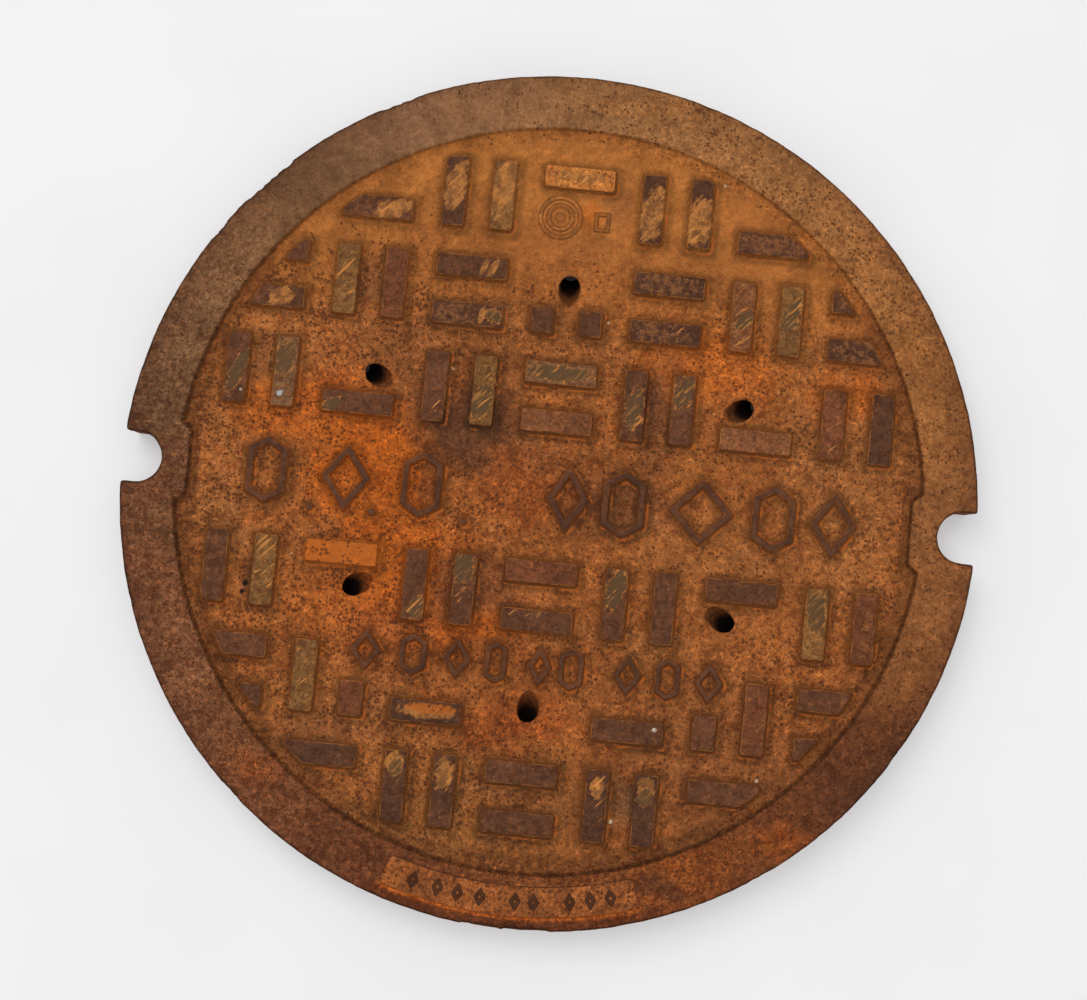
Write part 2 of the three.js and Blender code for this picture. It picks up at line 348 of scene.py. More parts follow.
def cut_to_circle(polygon, radius):
    """The part of a convex anticlockwise polygon inside a circle about the origin."""
    middle = math.atan2(*np.mean(polygon, axis=0)[::-1])
    for angle in middle + np.radians(np.arange(-10, 10.1, 0.5)):
        direction = np.array([math.cos(angle), math.sin(angle)])
        kept = []
        for a, b in zip(polygon, np.roll(polygon, -1, axis=0)):
            da, db = a @ direction - radius, b @ direction - radius
            if da <= 0:
                kept.append(a)
            if da * db < 0:
                kept.append(a + (b - a) * da / (da - db))
        polygon = np.array(kept)
    return polygon


def offset_polygon(corners, distance):
    """Moves each edge of a convex anticlockwise polygon outwards, keeping its corners."""
    corners = np.asarray(corners, float)
    edge = np.roll(corners, -1, axis=0) - corners
    normal = np.stack([edge[:, 1], -edge[:, 0]], 1)
    normal /= np.linalg.norm(normal, axis=1, keepdims=True)
    before = np.roll(normal, 1, axis=0)
    mitre = (normal + before) / (1 + np.sum(normal * before, axis=1, keepdims=True))
    return corners + distance * mitre


# ---- Blocks and ridges ----
BLOCK_SPACING = 1.4
INNER_SHARES = (0.06, 0.16, 0.28, 0.4, 0.52, 0.64, 0.76, 0.88)


def block(skin, outline, profile, crown, seed, lift=None, bend=None, rounding=0.6):
    """A cast block. `outline` is its top edge and `crown` its top's height. `profile` is its
    side from the foot up as (offset, height, skirt), where skirt is 1 for the foot and 0 for
    the top. `lift` gives the top an uneven height, and `bend` maps every point."""
    loop = resampled(outline, BLOCK_SPACING)
    centre = (loop.max(0) + loop.min(0)) / 2
    size = loop.max(0) - loop.min(0)
    axis = np.array([1.0, 0.0]) if size[0] >= size[1] else np.array([0.0, 1.0])
    half_line = abs(size[0] - size[1]) / 2 * 0.98
    loop = blurred(loop, rounding)
    normal = outward(loop)
    wear = wander(loop, seed, [(9, 0.35), (3.5, 0.25)])
    rows = []
    for offset, height, _ in profile:
        share = smooth(height, FIELD_TOP + 1, RIM_TOP)
        plan = loop + normal * (offset - np.clip(wear, 0, 1)[:, None] * share)
        rows.append(np.column_stack([plan, np.full(len(plan), height)]))
    skirts = [skirt for *_, skirt in profile] + [0.0] * len(INNER_SHARES)
    top = rows[-1][:, :2]
    along = np.clip((loop - centre) @ axis, -half_line, half_line)
    middle = centre + along[:, None] * axis
    for share in INNER_SHARES:
        plan = middle + (top - middle) * (1 - share)
        rows.append(np.column_stack([plan, np.full(len(plan), crown)]))
    step = max(half_line / max(1, int(half_line / 2.4)), 1e-3)
    snapped = centre + (np.round(along / step) * step)[:, None] * axis
    spine, index = np.unique(np.round(snapped, 4), axis=0, return_inverse=True)
    rows = np.array(rows)
    spine = np.column_stack([spine, np.full(len(spine), crown)])
    for group in (rows.reshape(-1, 3), spine):
        high = smooth(group[:, 2], FIELD_TOP + 2, RIM_TOP - 0.2)
        if lift is not None:
            group[:, 2] += high * lift(group[:, 0], group[:, 1])
        if bend is not None:
            group[:] = bend(group)
    ids = sweep(skin, rows, skirts)
    skin.bridge(ids[-1], skin.add(spine)[np.ravel(index)])
    skin.cap(ids[0], rows[0].mean(0), skirt=1.0)


def ridge(skin, corners, section, spacing=1.4, bend=None, rounding=0.7):
    """A raised line round a closed path. `section` runs from its outer foot over the top to
    its inner foot as (offset, height, skirt)."""
    counts = [
        max(2, int(round(np.hypot(*(b - a)) / spacing)))
        for a, b in zip(corners, np.roll(corners, -1, axis=0))
    ]
    rows = []
    for offset, height, _ in section:
        moved = offset_polygon(corners, offset)
        loop = np.concatenate([
            a + (b - a) * (np.arange(n) / n)[:, None]
            for a, b, n in zip(moved, np.roll(moved, -1, axis=0), counts)
        ])
        loop = blurred(loop, rounding)
        wobble = wander(loop, 71, [(7, 0.16), (3, 0.12)])
        rows.append(np.column_stack([loop, height + wobble * (height > FIELD_TOP)]))
    rows = np.array(rows)
    if bend is not None:
        rows = bend(rows.reshape(-1, 3)).reshape(rows.shape)
    sweep(skin, rows, [skirt for *_, skirt in section], closed_section=True)


def ridge_section(half_top, half_foot, base, rise):
    """Section of a cast ridge: hidden root, flared foot, sloping side and rounded top."""
    side = half_foot - half_top
    half = [
        (half_foot + 0.5, base - 0.8, 1.0),
        (half_foot, base + 0.05 * rise, 1.0),
        (half_top + side * 0.55, base + 0.28 * rise, 0.9),
        (half_top + side * 0.22, base + 0.70 * rise, 0.6),
        (half_top, base + 0.95 * rise, 0.15),
        (half_top * 0.45, base + rise, 0.0),
    ]
    return half + [(-offset, height, skirt) for offset, height, skirt in reversed(half)]


def rectangle(x, y, width, height):
    w, h = width / 2, height / 2
    return np.array([(x - w, y - h), (x + w, y - h), (x + w, y + h), (x - w, y + h)])


def figure_corners(shape, x, y, width, height):
    w, h = width / 2, height / 2
    if shape == "lozenge":
        plan = [(0, -h), (w, 0), (0, h), (-w, 0)]
    else:
        s = h - w * 0.6
        plan = [(0, -h), (w, -s), (w, s), (0, h), (-w, s), (-w, -s)]
    return np.array(plan) + (x, y)


# Share of the radius, share of the rise (below 0, depth in mm) and skirt of each ring.
KNOB_RINGS = (
    (1.35, -0.8, 1.0), (1.2, 0.04, 1.0), (1.03, 0.35, 0.8), (0.9, 0.72, 0.3), (0.68, 0.94, 0.0),
    (0.35, 1, 0.0),
)


def rounded_knob(skin, x, y, radius, foot, rise, points=28):
    """A low round knob with a soft edge."""
    angle = np.arange(points) * 2 * math.pi / points
    ring = np.column_stack([np.cos(angle), np.sin(angle)])
    rows = []
    for share, height, _ in KNOB_RINGS:
        plan = ring * radius * share + (x, y)
        level = foot + (height * rise if height > 0 else height)
        rows.append(np.column_stack([plan, np.full(points, level)]))
    ids = sweep(skin, rows, [skirt for *_, skirt in KNOB_RINGS])
    skin.cap(ids[-1], (x, y, foot + rise))
    skin.cap(ids[0], (x, y, foot + KNOB_RINGS[0][1]))


# ---- Field: the deck between the rim and the vents ----
FACE_GRID = 2.0
UNDERSIDE_GRID = 4.0
# Half the side of the square left open in the grids round each vent.
VENT_SQUARE_HALF = 16.0
# Rows round a vent's worn brink: how far outside the hole, and how far below the face.
VENT_BRINK = ((2.2, 0.05), (1.1, 0.25), (0.4, 0.75), (0.1, 1.5))


def open_edges(quads, count):
    """The open edges of a patch of quads on `count` vertices, as loops, longest first."""
    start = quads.T.ravel()
    end = np.roll(quads, -1, axis=1).T.ravel()
    lone = ~np.isin(start * count + end, end * count + start)
    after = dict(zip(start[lone].tolist(), end[lone].tolist()))
    loops = []
    while after:
        loop = [next(iter(after))]
        following = after.pop(loop[0])
        while following != loop[0]:
            loop.append(following)
            following = after.pop(following)
        loops.append(np.array(loop))
    return sorted(loops, key=len, reverse=True)


def clipped_grid(skin, step, radius, level, holes):
    """A square grid cut to a circle, with square holes left round the vents. Returns the ids
    of its outer edge and of each hole's edge, as loops."""
    reach = int(radius // step) + 1
    line = np.arange(-reach, reach + 1) * step
    x, y = np.meshgrid(line, line, indexing="ij")
    inside = np.hypot(x, y) < radius - 0.35 * step
    cell = inside[:-1, :-1] & inside[1:, :-1] & inside[1:, 1:] & inside[:-1, 1:]
    mid_x, mid_y = x[:-1, :-1] + step / 2, y[:-1, :-1] + step / 2
    for hole_x, hole_y, half in holes:
        cell &= ~((np.abs(mid_x - hole_x) < half) & (np.abs(mid_y - hole_y) < half))
    number = np.arange(x.size).reshape(x.shape)
    quads = np.stack([
        number[:-1, :-1][cell], number[1:, :-1][cell], number[1:, 1:][cell], number[:-1, 1:][cell],
    ], 1)
    used, packed = np.unique(quads, return_inverse=True)
    quads = packed.reshape(quads.shape)
    plan = np.column_stack([x.ravel()[used], y.ravel()[used]])
    outer, *inner = open_edges(quads, len(used))
    plan[outer] = on_circle(plan[outer], radius)
    heights = level(plan[:, 0], plan[:, 1])
    ids = skin.add(np.column_stack([plan, heights]))
    skin.faces.extend((quads + ids[0]).tolist())
    return ids[outer], [ids[loop] for loop in inner]


def field_height(x, y):
    """The cast face is slightly uneven."""
    return FIELD_TOP + fractal(x, y, 11, [(34, 0.22), (10, 0.14), (4.6, 0.10)])


def underside_height(x, y):
    return FIELD_UNDERSIDE + fractal(x, y, 31, [(26, 0.15), (9, 0.12)])


def vent_loop(angle, t, grow, height, seed):
    """An egg-shaped slice of a vent hole, at share `t` of the way down."""
    radius, half_radial, half_across = (
        a + (b - a) * t for a, b in zip(VENT_MOUTH, VENT_FOOT)
    )
    turn = np.arange(48) * 2 * math.pi / 48
    ragged = 1 + 0.035 * noise(np.cos(turn) * 3 + seed * 7, np.sin(turn) * 3 + t * 2, 1.6, 5)
    u = (half_radial * ragged + grow) * np.cos(turn)
    v = (half_across * ragged + grow) * np.sin(turn) * (1 + 0.10 * np.cos(turn))
    c, s = math.cos(angle), math.sin(angle)
    x = (radius + u) * c - v * s
    y = (radius + u) * s + v * c
    return np.column_stack([x, y, np.broadcast_to(height, x.shape)])


def vent_patches(place, step):
    """The square left open round each vent: its centre on the grid, and half its side."""
    patches = []
    for degrees in VENT_ANGLES_DEG:
        angle = math.radians(degrees)
        x, y = place[0] * math.cos(angle), place[0] * math.sin(angle)
        patches.append((round(x / step) * step, round(y / step) * step, VENT_SQUARE_HALF))
    return patches


def nearest(loops, skin, centre):
    """The loop whose middle is closest to a point."""
    middles = [skin.at(loop)[:, :2].mean(0) for loop in loops]
    return loops[int(np.argmin([np.hypot(*(m - centre)) for m in middles]))]


def make_field(material):
    skin = Skin()
    top_patches = vent_patches(VENT_MOUTH, FACE_GRID)
    foot_patches = vent_patches(VENT_FOOT, UNDERSIDE_GRID)
    top_edge, top_holes = clipped_grid(skin, FACE_GRID, FIELD_RADIUS, field_height, top_patches)
    foot_edge, foot_holes = clipped_grid(
        skin, UNDERSIDE_GRID, FIELD_RADIUS, underside_height, foot_patches
    )
    skin.stitch(top_edge, foot_edge, (0, 0))
    for seed, degrees in enumerate(VENT_ANGLES_DEG):
        angle = math.radians(degrees)
        rows = []
        for grow, drop in VENT_BRINK:
            loop = vent_loop(angle, 0, grow, 0, seed)
            loop[:, 2] = field_height(loop[:, 0], loop[:, 1]) - drop
            rows.append(loop)
        for t in np.linspace(0.1, 0.95, 10):
            height = FIELD_TOP + (FIELD_UNDERSIDE - FIELD_TOP) * t
            rows.append(vent_loop(angle, t, 0, height, seed))
        rows.append(vent_loop(angle, 1, 0.8, FIELD_UNDERSIDE, seed))
        ids = sweep(skin, rows)
        for loop, holes, patches in (
            (ids[0], top_holes, top_patches), (ids[-1], foot_holes, foot_patches),
        ):
            centre = np.array(patches[seed][:2])
            middle = skin.at(loop)[:, :2].mean(0)
            skin.stitch(nearest(holes, skin, centre), loop, (centre + middle) / 2)
    return skin.piece(
        "field_plate", material, tone=field_tone, near=nearness, pitted=pit_density,
        shade=hole_shade, grain=field_grain,
    )


# ---- Rim ----
# Chips in the outer edge: first and last angle, and depth.
RIM_CHIPS = (
    (114, 119, 1.1), (133, 141, 1.5), (145, 148, 1.1), (227, 230, 0.6),
    (264, 269, 1.2), (269.5, 275.5, 1.6), (303, 306, 0.4), (327, 331, 0.6),
)
RIM_TOP_SHARES = np.linspace(0, 1, 21)[1:-1]
# Rows down the inner slope: share of its width, and strength of the dark line there.
SLOPE_ROWS = (
    (0.06, 1.0), (0.16, 1.0), (0.28, 0.55), (0.44, 0.15), (0.62, 0.0), (0.82, 0.0), (1.0, 0.0),
)
SIDE_HEIGHTS = (0.6, 6, 12, 18, 24, 30, 36)
SIDE_DRAFT = 2.0
# Rows round the outer bevel: degrees round it, and strength of the dark line there.
BEVEL_ROWS = ((0, 1.0), (22, 1.0), (45, 1.0), (68, 0.8), (90, 0.45))
# Rows from under the slope, below the deck's edge, to the skirt's foot: radius and height.
SKIRT_ROWS = (
    (SLOPE_FOOT_RADIUS + 0.5, FIELD_UNDERSIDE + 1.0), (FIELD_RADIUS - 0.5, FIELD_UNDERSIDE + 0.2),
    (SKIRT_RADIUS - 2.6, FIELD_UNDERSIDE - 0.1), (SKIRT_RADIUS - 1.4, FIELD_UNDERSIDE - 1.2),
    (SKIRT_RADIUS - 0.4, 0.8), (SKIRT_RADIUS + 0.4, 0.0),
)


def arc(radius, first, last, count):
    angle = np.radians(np.linspace(first, last, count, endpoint=False))
    return np.column_stack([radius * np.cos(angle), radius * np.sin(angle)])


def straight(a, b, count):
    share = np.arange(count)[:, None] / count
    return np.asarray(a) + (np.asarray(b) - np.asarray(a)) * share


def rim_paths():
    """Matching points along the outer edge, the inner top edge and the slope's foot, through
    a quarter from the middle of the right-hand notch, then mirrored to the full circle."""
    lip_angle = math.degrees(math.asin(NOTCH_HALF_WIDTH / COVER_RADIUS))
    lip = (COVER_RADIUS * math.cos(math.radians(lip_angle)), NOTCH_HALF_WIDTH)
    round_end = NOTCH_INNER_END + NOTCH_HALF_WIDTH
    curve = np.radians(np.linspace(180, 90, 26, endpoint=False))
    window = NOTCH_WINDOW_DEG
    outer = np.concatenate([
        np.column_stack([
            round_end + NOTCH_HALF_WIDTH * np.cos(curve), NOTCH_HALF_WIDTH * np.sin(curve),
        ]),
        straight((round_end, NOTCH_HALF_WIDTH), lip, 10),
        arc(COVER_RADIUS, lip_angle, window, 26),
        arc(COVER_RADIUS, window, 90, 388),
    ])

    def inner_path(edge, half, radius, joint_y):
        joint_deg = math.degrees(math.asin(joint_y / radius))
        joint = (math.sqrt(radius**2 - joint_y**2), joint_y)
        return np.concatenate([
            straight((edge, 0), (edge, half), 26),
            straight((edge, half), joint, 10),
            arc(radius, joint_deg, window, 26),
            arc(radius, window, 90, 388),
        ])

    inner = inner_path(PAD_EDGE, PAD_HALF_LENGTH, RIM_INNER_RADIUS, PAD_HALF_LENGTH + 6)
    foot = inner_path(PAD_FOOT, PAD_HALF_LENGTH + 6, SLOPE_FOOT_RADIUS, PAD_HALF_LENGTH + 13)

    def whole(quarter):
        """The quarter, then its mirror in Y, then both turned half a turn."""
        end = np.array([[0, np.hypot(*quarter[-1])]])
        half = np.concatenate([quarter, end, quarter[:0:-1] * (-1, 1)])
        return np.concatenate([half, -half])

    return whole(outer), whole(inner), whole(foot)


def worn_edge(outer, normal, angle):
    """The ragged outer edge of the rim's top, and how deeply it is chipped at each point."""
    chip = np.zeros(len(outer))
    for first, last, depth in RIM_CHIPS:
        begun = smooth(angle, first - 0.3, first + 0.4)
        ended = smooth(angle, last - 0.5, last + 0.4)
        chip += depth * (begun * (1 - ended))
    ragged = 0.75 + 0.35 * noise(angle * 6, 0 * angle, 2.5, 3)
    waver = wander(outer, 21, [(16, 0.18), (5, 0.16), (2.6, 0.10)])
    return outer - normal * (0.25 + chip * ragged + waver)[:, None], chip


def make_rim(material):
    outer, inner, foot = rim_paths()
    outer = blurred(outer, 2.0)
    inner = blurred(inner, 2.2)
    foot = blurred(foot, 2.8)
    normal = outward(outer)
    angle = np.degrees(np.arctan2(outer[:, 1], outer[:, 0])) % 360
    edge, chip = worn_edge(outer, normal, angle)

    skin = Skin()
    rows = []

    def row(plan, height, line=0.0):
        """`line` is how strongly the row shows as a dark line."""
        heights = np.broadcast_to(height, len(plan))
        rows.append(skin.add(np.column_stack([plan, heights]), line=line))
        return plan

    for height in SIDE_HEIGHTS:
        draft = SIDE_DRAFT * (1 - height / RIM_TOP)
        scuff = fractal(angle * 6, 0 * angle + height, 41, [(12, 0.25), (4, 0.2)])
        row(outer - normal * (draft + 0.3 + scuff * (height > 1))[:, None], height)
    bevel = 1.7 + 0.5 * noise(angle * 6, 0 * angle, 9, 8) + 0.5 * chip
    for degrees, line in BEVEL_ROWS:
        turn = math.radians(degrees)
        inset = bevel * (1 - math.cos(turn))
        height = RIM_TOP - bevel * (1 - math.sin(turn))
        brink = row(edge - normal * inset[:, None], height, line)
    for share in RIM_TOP_SHARES:
        plan = brink + (inner - brink) * share
        bumps = wander(plan, 51, [(30, 0.22), (9, 0.13), (4, 0.08)])
        sag = 0.35 * smooth(share, 0.35, 0.0)
        row(plan, RIM_TOP - 0.15 + bumps * smooth(min(share, 1 - share), 0, 0.12) - sag)
    faint = 1 - 0.45 * at_angle(inner, 78, 85)
    row(inner, RIM_TOP - 0.35, 0.7 * faint)
    for share, line in SLOPE_ROWS:
        plan = inner + (foot - inner) * share
        row(plan, FIELD_TOP + 0.1 + (RIM_TOP - FIELD_TOP - 0.6) * (1 - share) ** 1.7, line * faint)
    hidden = foot * (1 - 3.0 / np.hypot(*foot.T))[:, None]
    row(hidden, FIELD_TOP - 1.2)
    row(hidden, FIELD_TOP - 9)
    for radius, height in SKIRT_ROWS:
        row(on_circle(inner, radius), height)
    row(on_circle(inner, SKIRT_RADIUS + 0.4) * 0.5 + (outer - normal * 3.0) * 0.5, 0.0)
    row(outer - normal * 3.0, 0.0)
    for lower, upper in zip(rows, rows[1:] + rows[:1]):
        skin.bridge(lower, upper)
    return skin.piece(
        "rim", material, tone=rim_tone, pitted=rim_pits, grain=rim_grain,
        streaked=functools.partial(at_angle, degrees=310, half_width=60),
    )


# ---- Tread bars ----
BAR_PROFILE = (
    (3.6, FIELD_TOP - 0.7, 1.0), (2.6, FIELD_TOP + 0.1, 1.0), (1.8, FIELD_TOP + 0.7, 1.0),
    (1.15, FIELD_TOP + 2.0, 0.9), (0.6, FIELD_TOP + 3.7, 0.7), (0.25, FIELD_TOP + 4.55, 0.45),
    (-0.15, FIELD_TOP + 4.88, 0.25), (-0.9, FIELD_TOP + 5.0, 0.0),
)


def tread_bars():
    """Every bar as (column, row, side, centre x, centre y, length, upright)."""
    bars = []
    for row in range(-3, 4):
        for column in range(-3, 4):
            upright = (column + row) % 2 == 0
            for side in (-1, 1):
                x = CELL_PITCH * column + (side * BAR_OFFSET if upright else 0)
                y = CELL_PITCH * row + (0 if upright else side * BAR_OFFSET)
                length = CUT_SHORT.get((column, row, side), BAR_LENGTH)
                y -= (BAR_LENGTH - length) / 2 if upright else 0
                left_out = row == 0 or side in LEFT_OUT.get((column, row), ())
                if not left_out and math.hypot(x, y) < OUTERMOST_BAR_CENTRE:
                    bars.append((column, row, side, x, y, length, upright))
    return bars


def bar_outline(bar, grow=0.0):
    *_, x, y, length, upright = bar
    size = (BAR_WIDTH, length) if upright else (length, BAR_WIDTH)
    outline = rectangle(x, y, size[0] + 2 * grow, size[1] + 2 * grow)
    return cut_to_circle(outline, TREAD_RADIUS + grow)


def make_bars(material):
    skin = Skin()
    for index, bar in enumerate(tread_bars()):
        settle = -0.25 * abs(noise(index * 3.7, 1.3, 1, 17))

        def lift(x, y, seed=100 + index, settle=settle):
            return settle + fractal(x, y, seed, [(16, 0.20), (5, 0.14), (2.6, 0.08)])

        block(skin, bar_outline(bar), BAR_PROFILE, RIM_TOP, 200 + index, lift=lift)
    return skin.piece(
        "tread_bars", material, tone=bar_tone, ground=ground_tone, pitted=bar_pits,
        **{kind: functools.partial(bar_patches, kind=kind) for kind in PATCH_KINDS},
    )


# ---- Ornaments, plaque and underside ----
def figure_lines(band):
    """The middle of the line of each figure in a band."""
    for x, width, shape in band["figures"]:
        corners = figure_corners(shape, x, band["y"], width, band["height"])
        yield offset_polygon(corners, -band["stroke"] / 2)


def make_band(name, band, material):
    skin = Skin()
    section = ridge_section(band["half_top"], band["half_foot"], FIELD_TOP, band["rise"])
    for line in figure_lines(band):
        ridge(skin, line, section)
    return skin.piece(name, material, tone=ridge_tone, ground=ground_tone)


def make_pips(material):
    skin = Skin()
    for x, y in PIP_PLACES:
        rounded_knob(skin, x, y, PIP_RADIUS, FIELD_TOP, PIP_RISE)
    return skin.piece("pips", material, tone=ridge_tone, ground=ground_tone)


def make_boss(material):
    skin = Skin()
    section = ridge_section(0.9, 2.3, FIELD_TOP, BOSS_RELIEF)
    for radius in BOSS_RING_RADII:
        corners = arc(radius, 0, 360, 48) + BOSS_CENTRE
        ridge(skin, corners, section)
    rounded_knob(skin, *BOSS_CENTRE, BOSS_KNOB_RADIUS, FIELD_TOP, BOSS_RELIEF)
    return skin.piece("round_boss", material, tone=boss_tone, ground=ground_tone)


def make_small_frame(material):
    skin = Skin()
    x, y, width, height = SMALL_FRAME
    ridge(skin, rectangle(x, y, width - 3, height - 3), ridge_section(0.7, 1.9, FIELD_TOP, 1.2))
    return skin.piece("small_frame", material, tone=boss_tone, ground=ground_tone)


def bent_to_rim(points):
    """Bends a straight strip, whose middle is at x 0, round the rim towards -Y."""
    angle = points[:, 0] / PLAQUE_MARK_RADIUS - math.pi / 2
    radius = -points[:, 1]
    return np.column_stack([radius * np.cos(angle), radius * np.sin(angle), points[:, 2]])


def make_plaque(material):
    skin = Skin()
    inner, outer = PLAQUE_RADII
    length = 2 * math.radians(PLAQUE_HALF_ANGLE_DEG) * PLAQUE_MARK_RADIUS
    outline = rectangle(0, -(inner + outer) / 2, length, outer - inner)
    top = RIM_TOP + PLAQUE_RISE
    profile = (
        (1.3, RIM_TOP - 1.2, 1.0), (1.0, RIM_TOP - 0.1, 1.0), (0.4, top - 0.35, 0.8),
        (-0.2, top - 0.08, 0.5), (-1.0, top, 0.0),
    )
    bumps = [(28, 0.10), (8, 0.10), (4, 0.06)]
    block(
        skin, outline, profile, top, 61, rounding=2.2, bend=bent_to_rim,
        lift=lambda x, y: fractal(x, y, 62, bumps),
    )
    return skin.piece("rim_plaque", material, tone=plaque_tone, ground=plaque_ground)


def make_plaque_marks(material):
    skin = Skin()
    section = ridge_section(0.9, 1.7, RIM_TOP + PLAQUE_RISE, 0.8)
    for degrees in PLAQUE_MARK_ANGLES_DEG:
        x = math.radians(degrees) * PLAQUE_MARK_RADIUS
        corners = figure_corners("lozenge", x, -PLAQUE_MARK_RADIUS, *PLAQUE_MARK_SIZE)
        corners = offset_polygon(corners, -PLAQUE_MARK_STROKE / 2)
        ridge(skin, corners, section, spacing=1.0, bend=bent_to_rim)
    return skin.piece("plaque_marks", material, tone=mark_tone, ground=mark_tone)


# Radius and height of the hub's rings, from the deck down.
HUB_PROFILE = (
    (51.5, 9.2), (50.2, 7.9), (49.3, 6.6), (48.6, 4.4),
    (47.6, 3.1), (46, 2.6), (36, 2.5), (20, 2.5),
)
RIB_COUNT = 6
RIB_REACH = (40.0, SKIRT_RADIUS + 1.0)
RIB_HALF_WIDTH = 5.0
# A rib's side: offset outwards, and height from the deck's underside.
RIB_PROFILE = (
    (3.4, 1.5), (2.4, 0.2), (1.8, -0.9), (0.9, -3.2), (0.2, -4.9), (-0.6, -5.35), (-1.5, -5.5),
)


def rib(skin, hung):
    """One rib from the hub to the rim's skirt."""
    stations = np.arange(*RIB_REACH, 3.0)
    rows = []
    for sign, section in ((-1, RIB_PROFILE), (1, RIB_PROFILE[::-1])):
        for offset, height in section:
            y = np.full(len(stations), sign * (RIB_HALF_WIDTH + offset))
            rows.append(np.column_stack([stations, y, np.full(len(stations), height)]))
    rows = np.array(rows)
    ids = [skin.add(hung(row)) for row in rows]
    for lower, upper in zip(ids, ids[1:] + ids[:1]):
        skin.bridge(lower, upper, closed=False)
    for end in (0, -1):
        middle = rows[:, end].mean(0, keepdims=True)
        skin.cap([row[end] for row in ids], hung(middle)[0])


def make_underside(material):
    """A hub and six radial ribs, which stop short of the plane the rim stands on."""
    skin = Skin()
    turn = np.arange(96) * 2 * math.pi / 96
    ring = np.column_stack([np.cos(turn), np.sin(turn)])
    waver = 1 + 0.006 * noise(np.cos(turn) * 4, np.sin(turn) * 4, 1, 14)
    rows = []
    for radius, height in HUB_PROFILE:
        plan = ring * (radius * waver)[:, None]
        bump = wander(plan, 32, [(18, 0.12), (6, 0.1)])
        rows.append(np.column_stack([plan, height + bump]))
    ids = sweep(skin, rows)
    skin.cap(ids[-1], (0, 0, RIB_FOOT))
    skin.cap(ids[0], (0, 0, HUB_PROFILE[0][1]))
    for index in range(RIB_COUNT):
        angle = math.radians(360 / RIB_COUNT * index)

        def hung(points, angle=angle):
            """Turns the rib upside down under the deck and swings it round the centre."""
            x, y = points[:, 0], -points[:, 1]
            bump = fractal(x, y, 33, [(22, 0.15), (7, 0.1)])
            return np.column_stack([
                x * math.cos(angle) - y * math.sin(angle),
                x * math.sin(angle) + y * math.cos(angle),
                FIELD_UNDERSIDE + points[:, 2] + bump,
            ])

        rib(skin, hung)
    return skin.piece("underside_ribs", material, tone=under_tone, ground=under_tone)


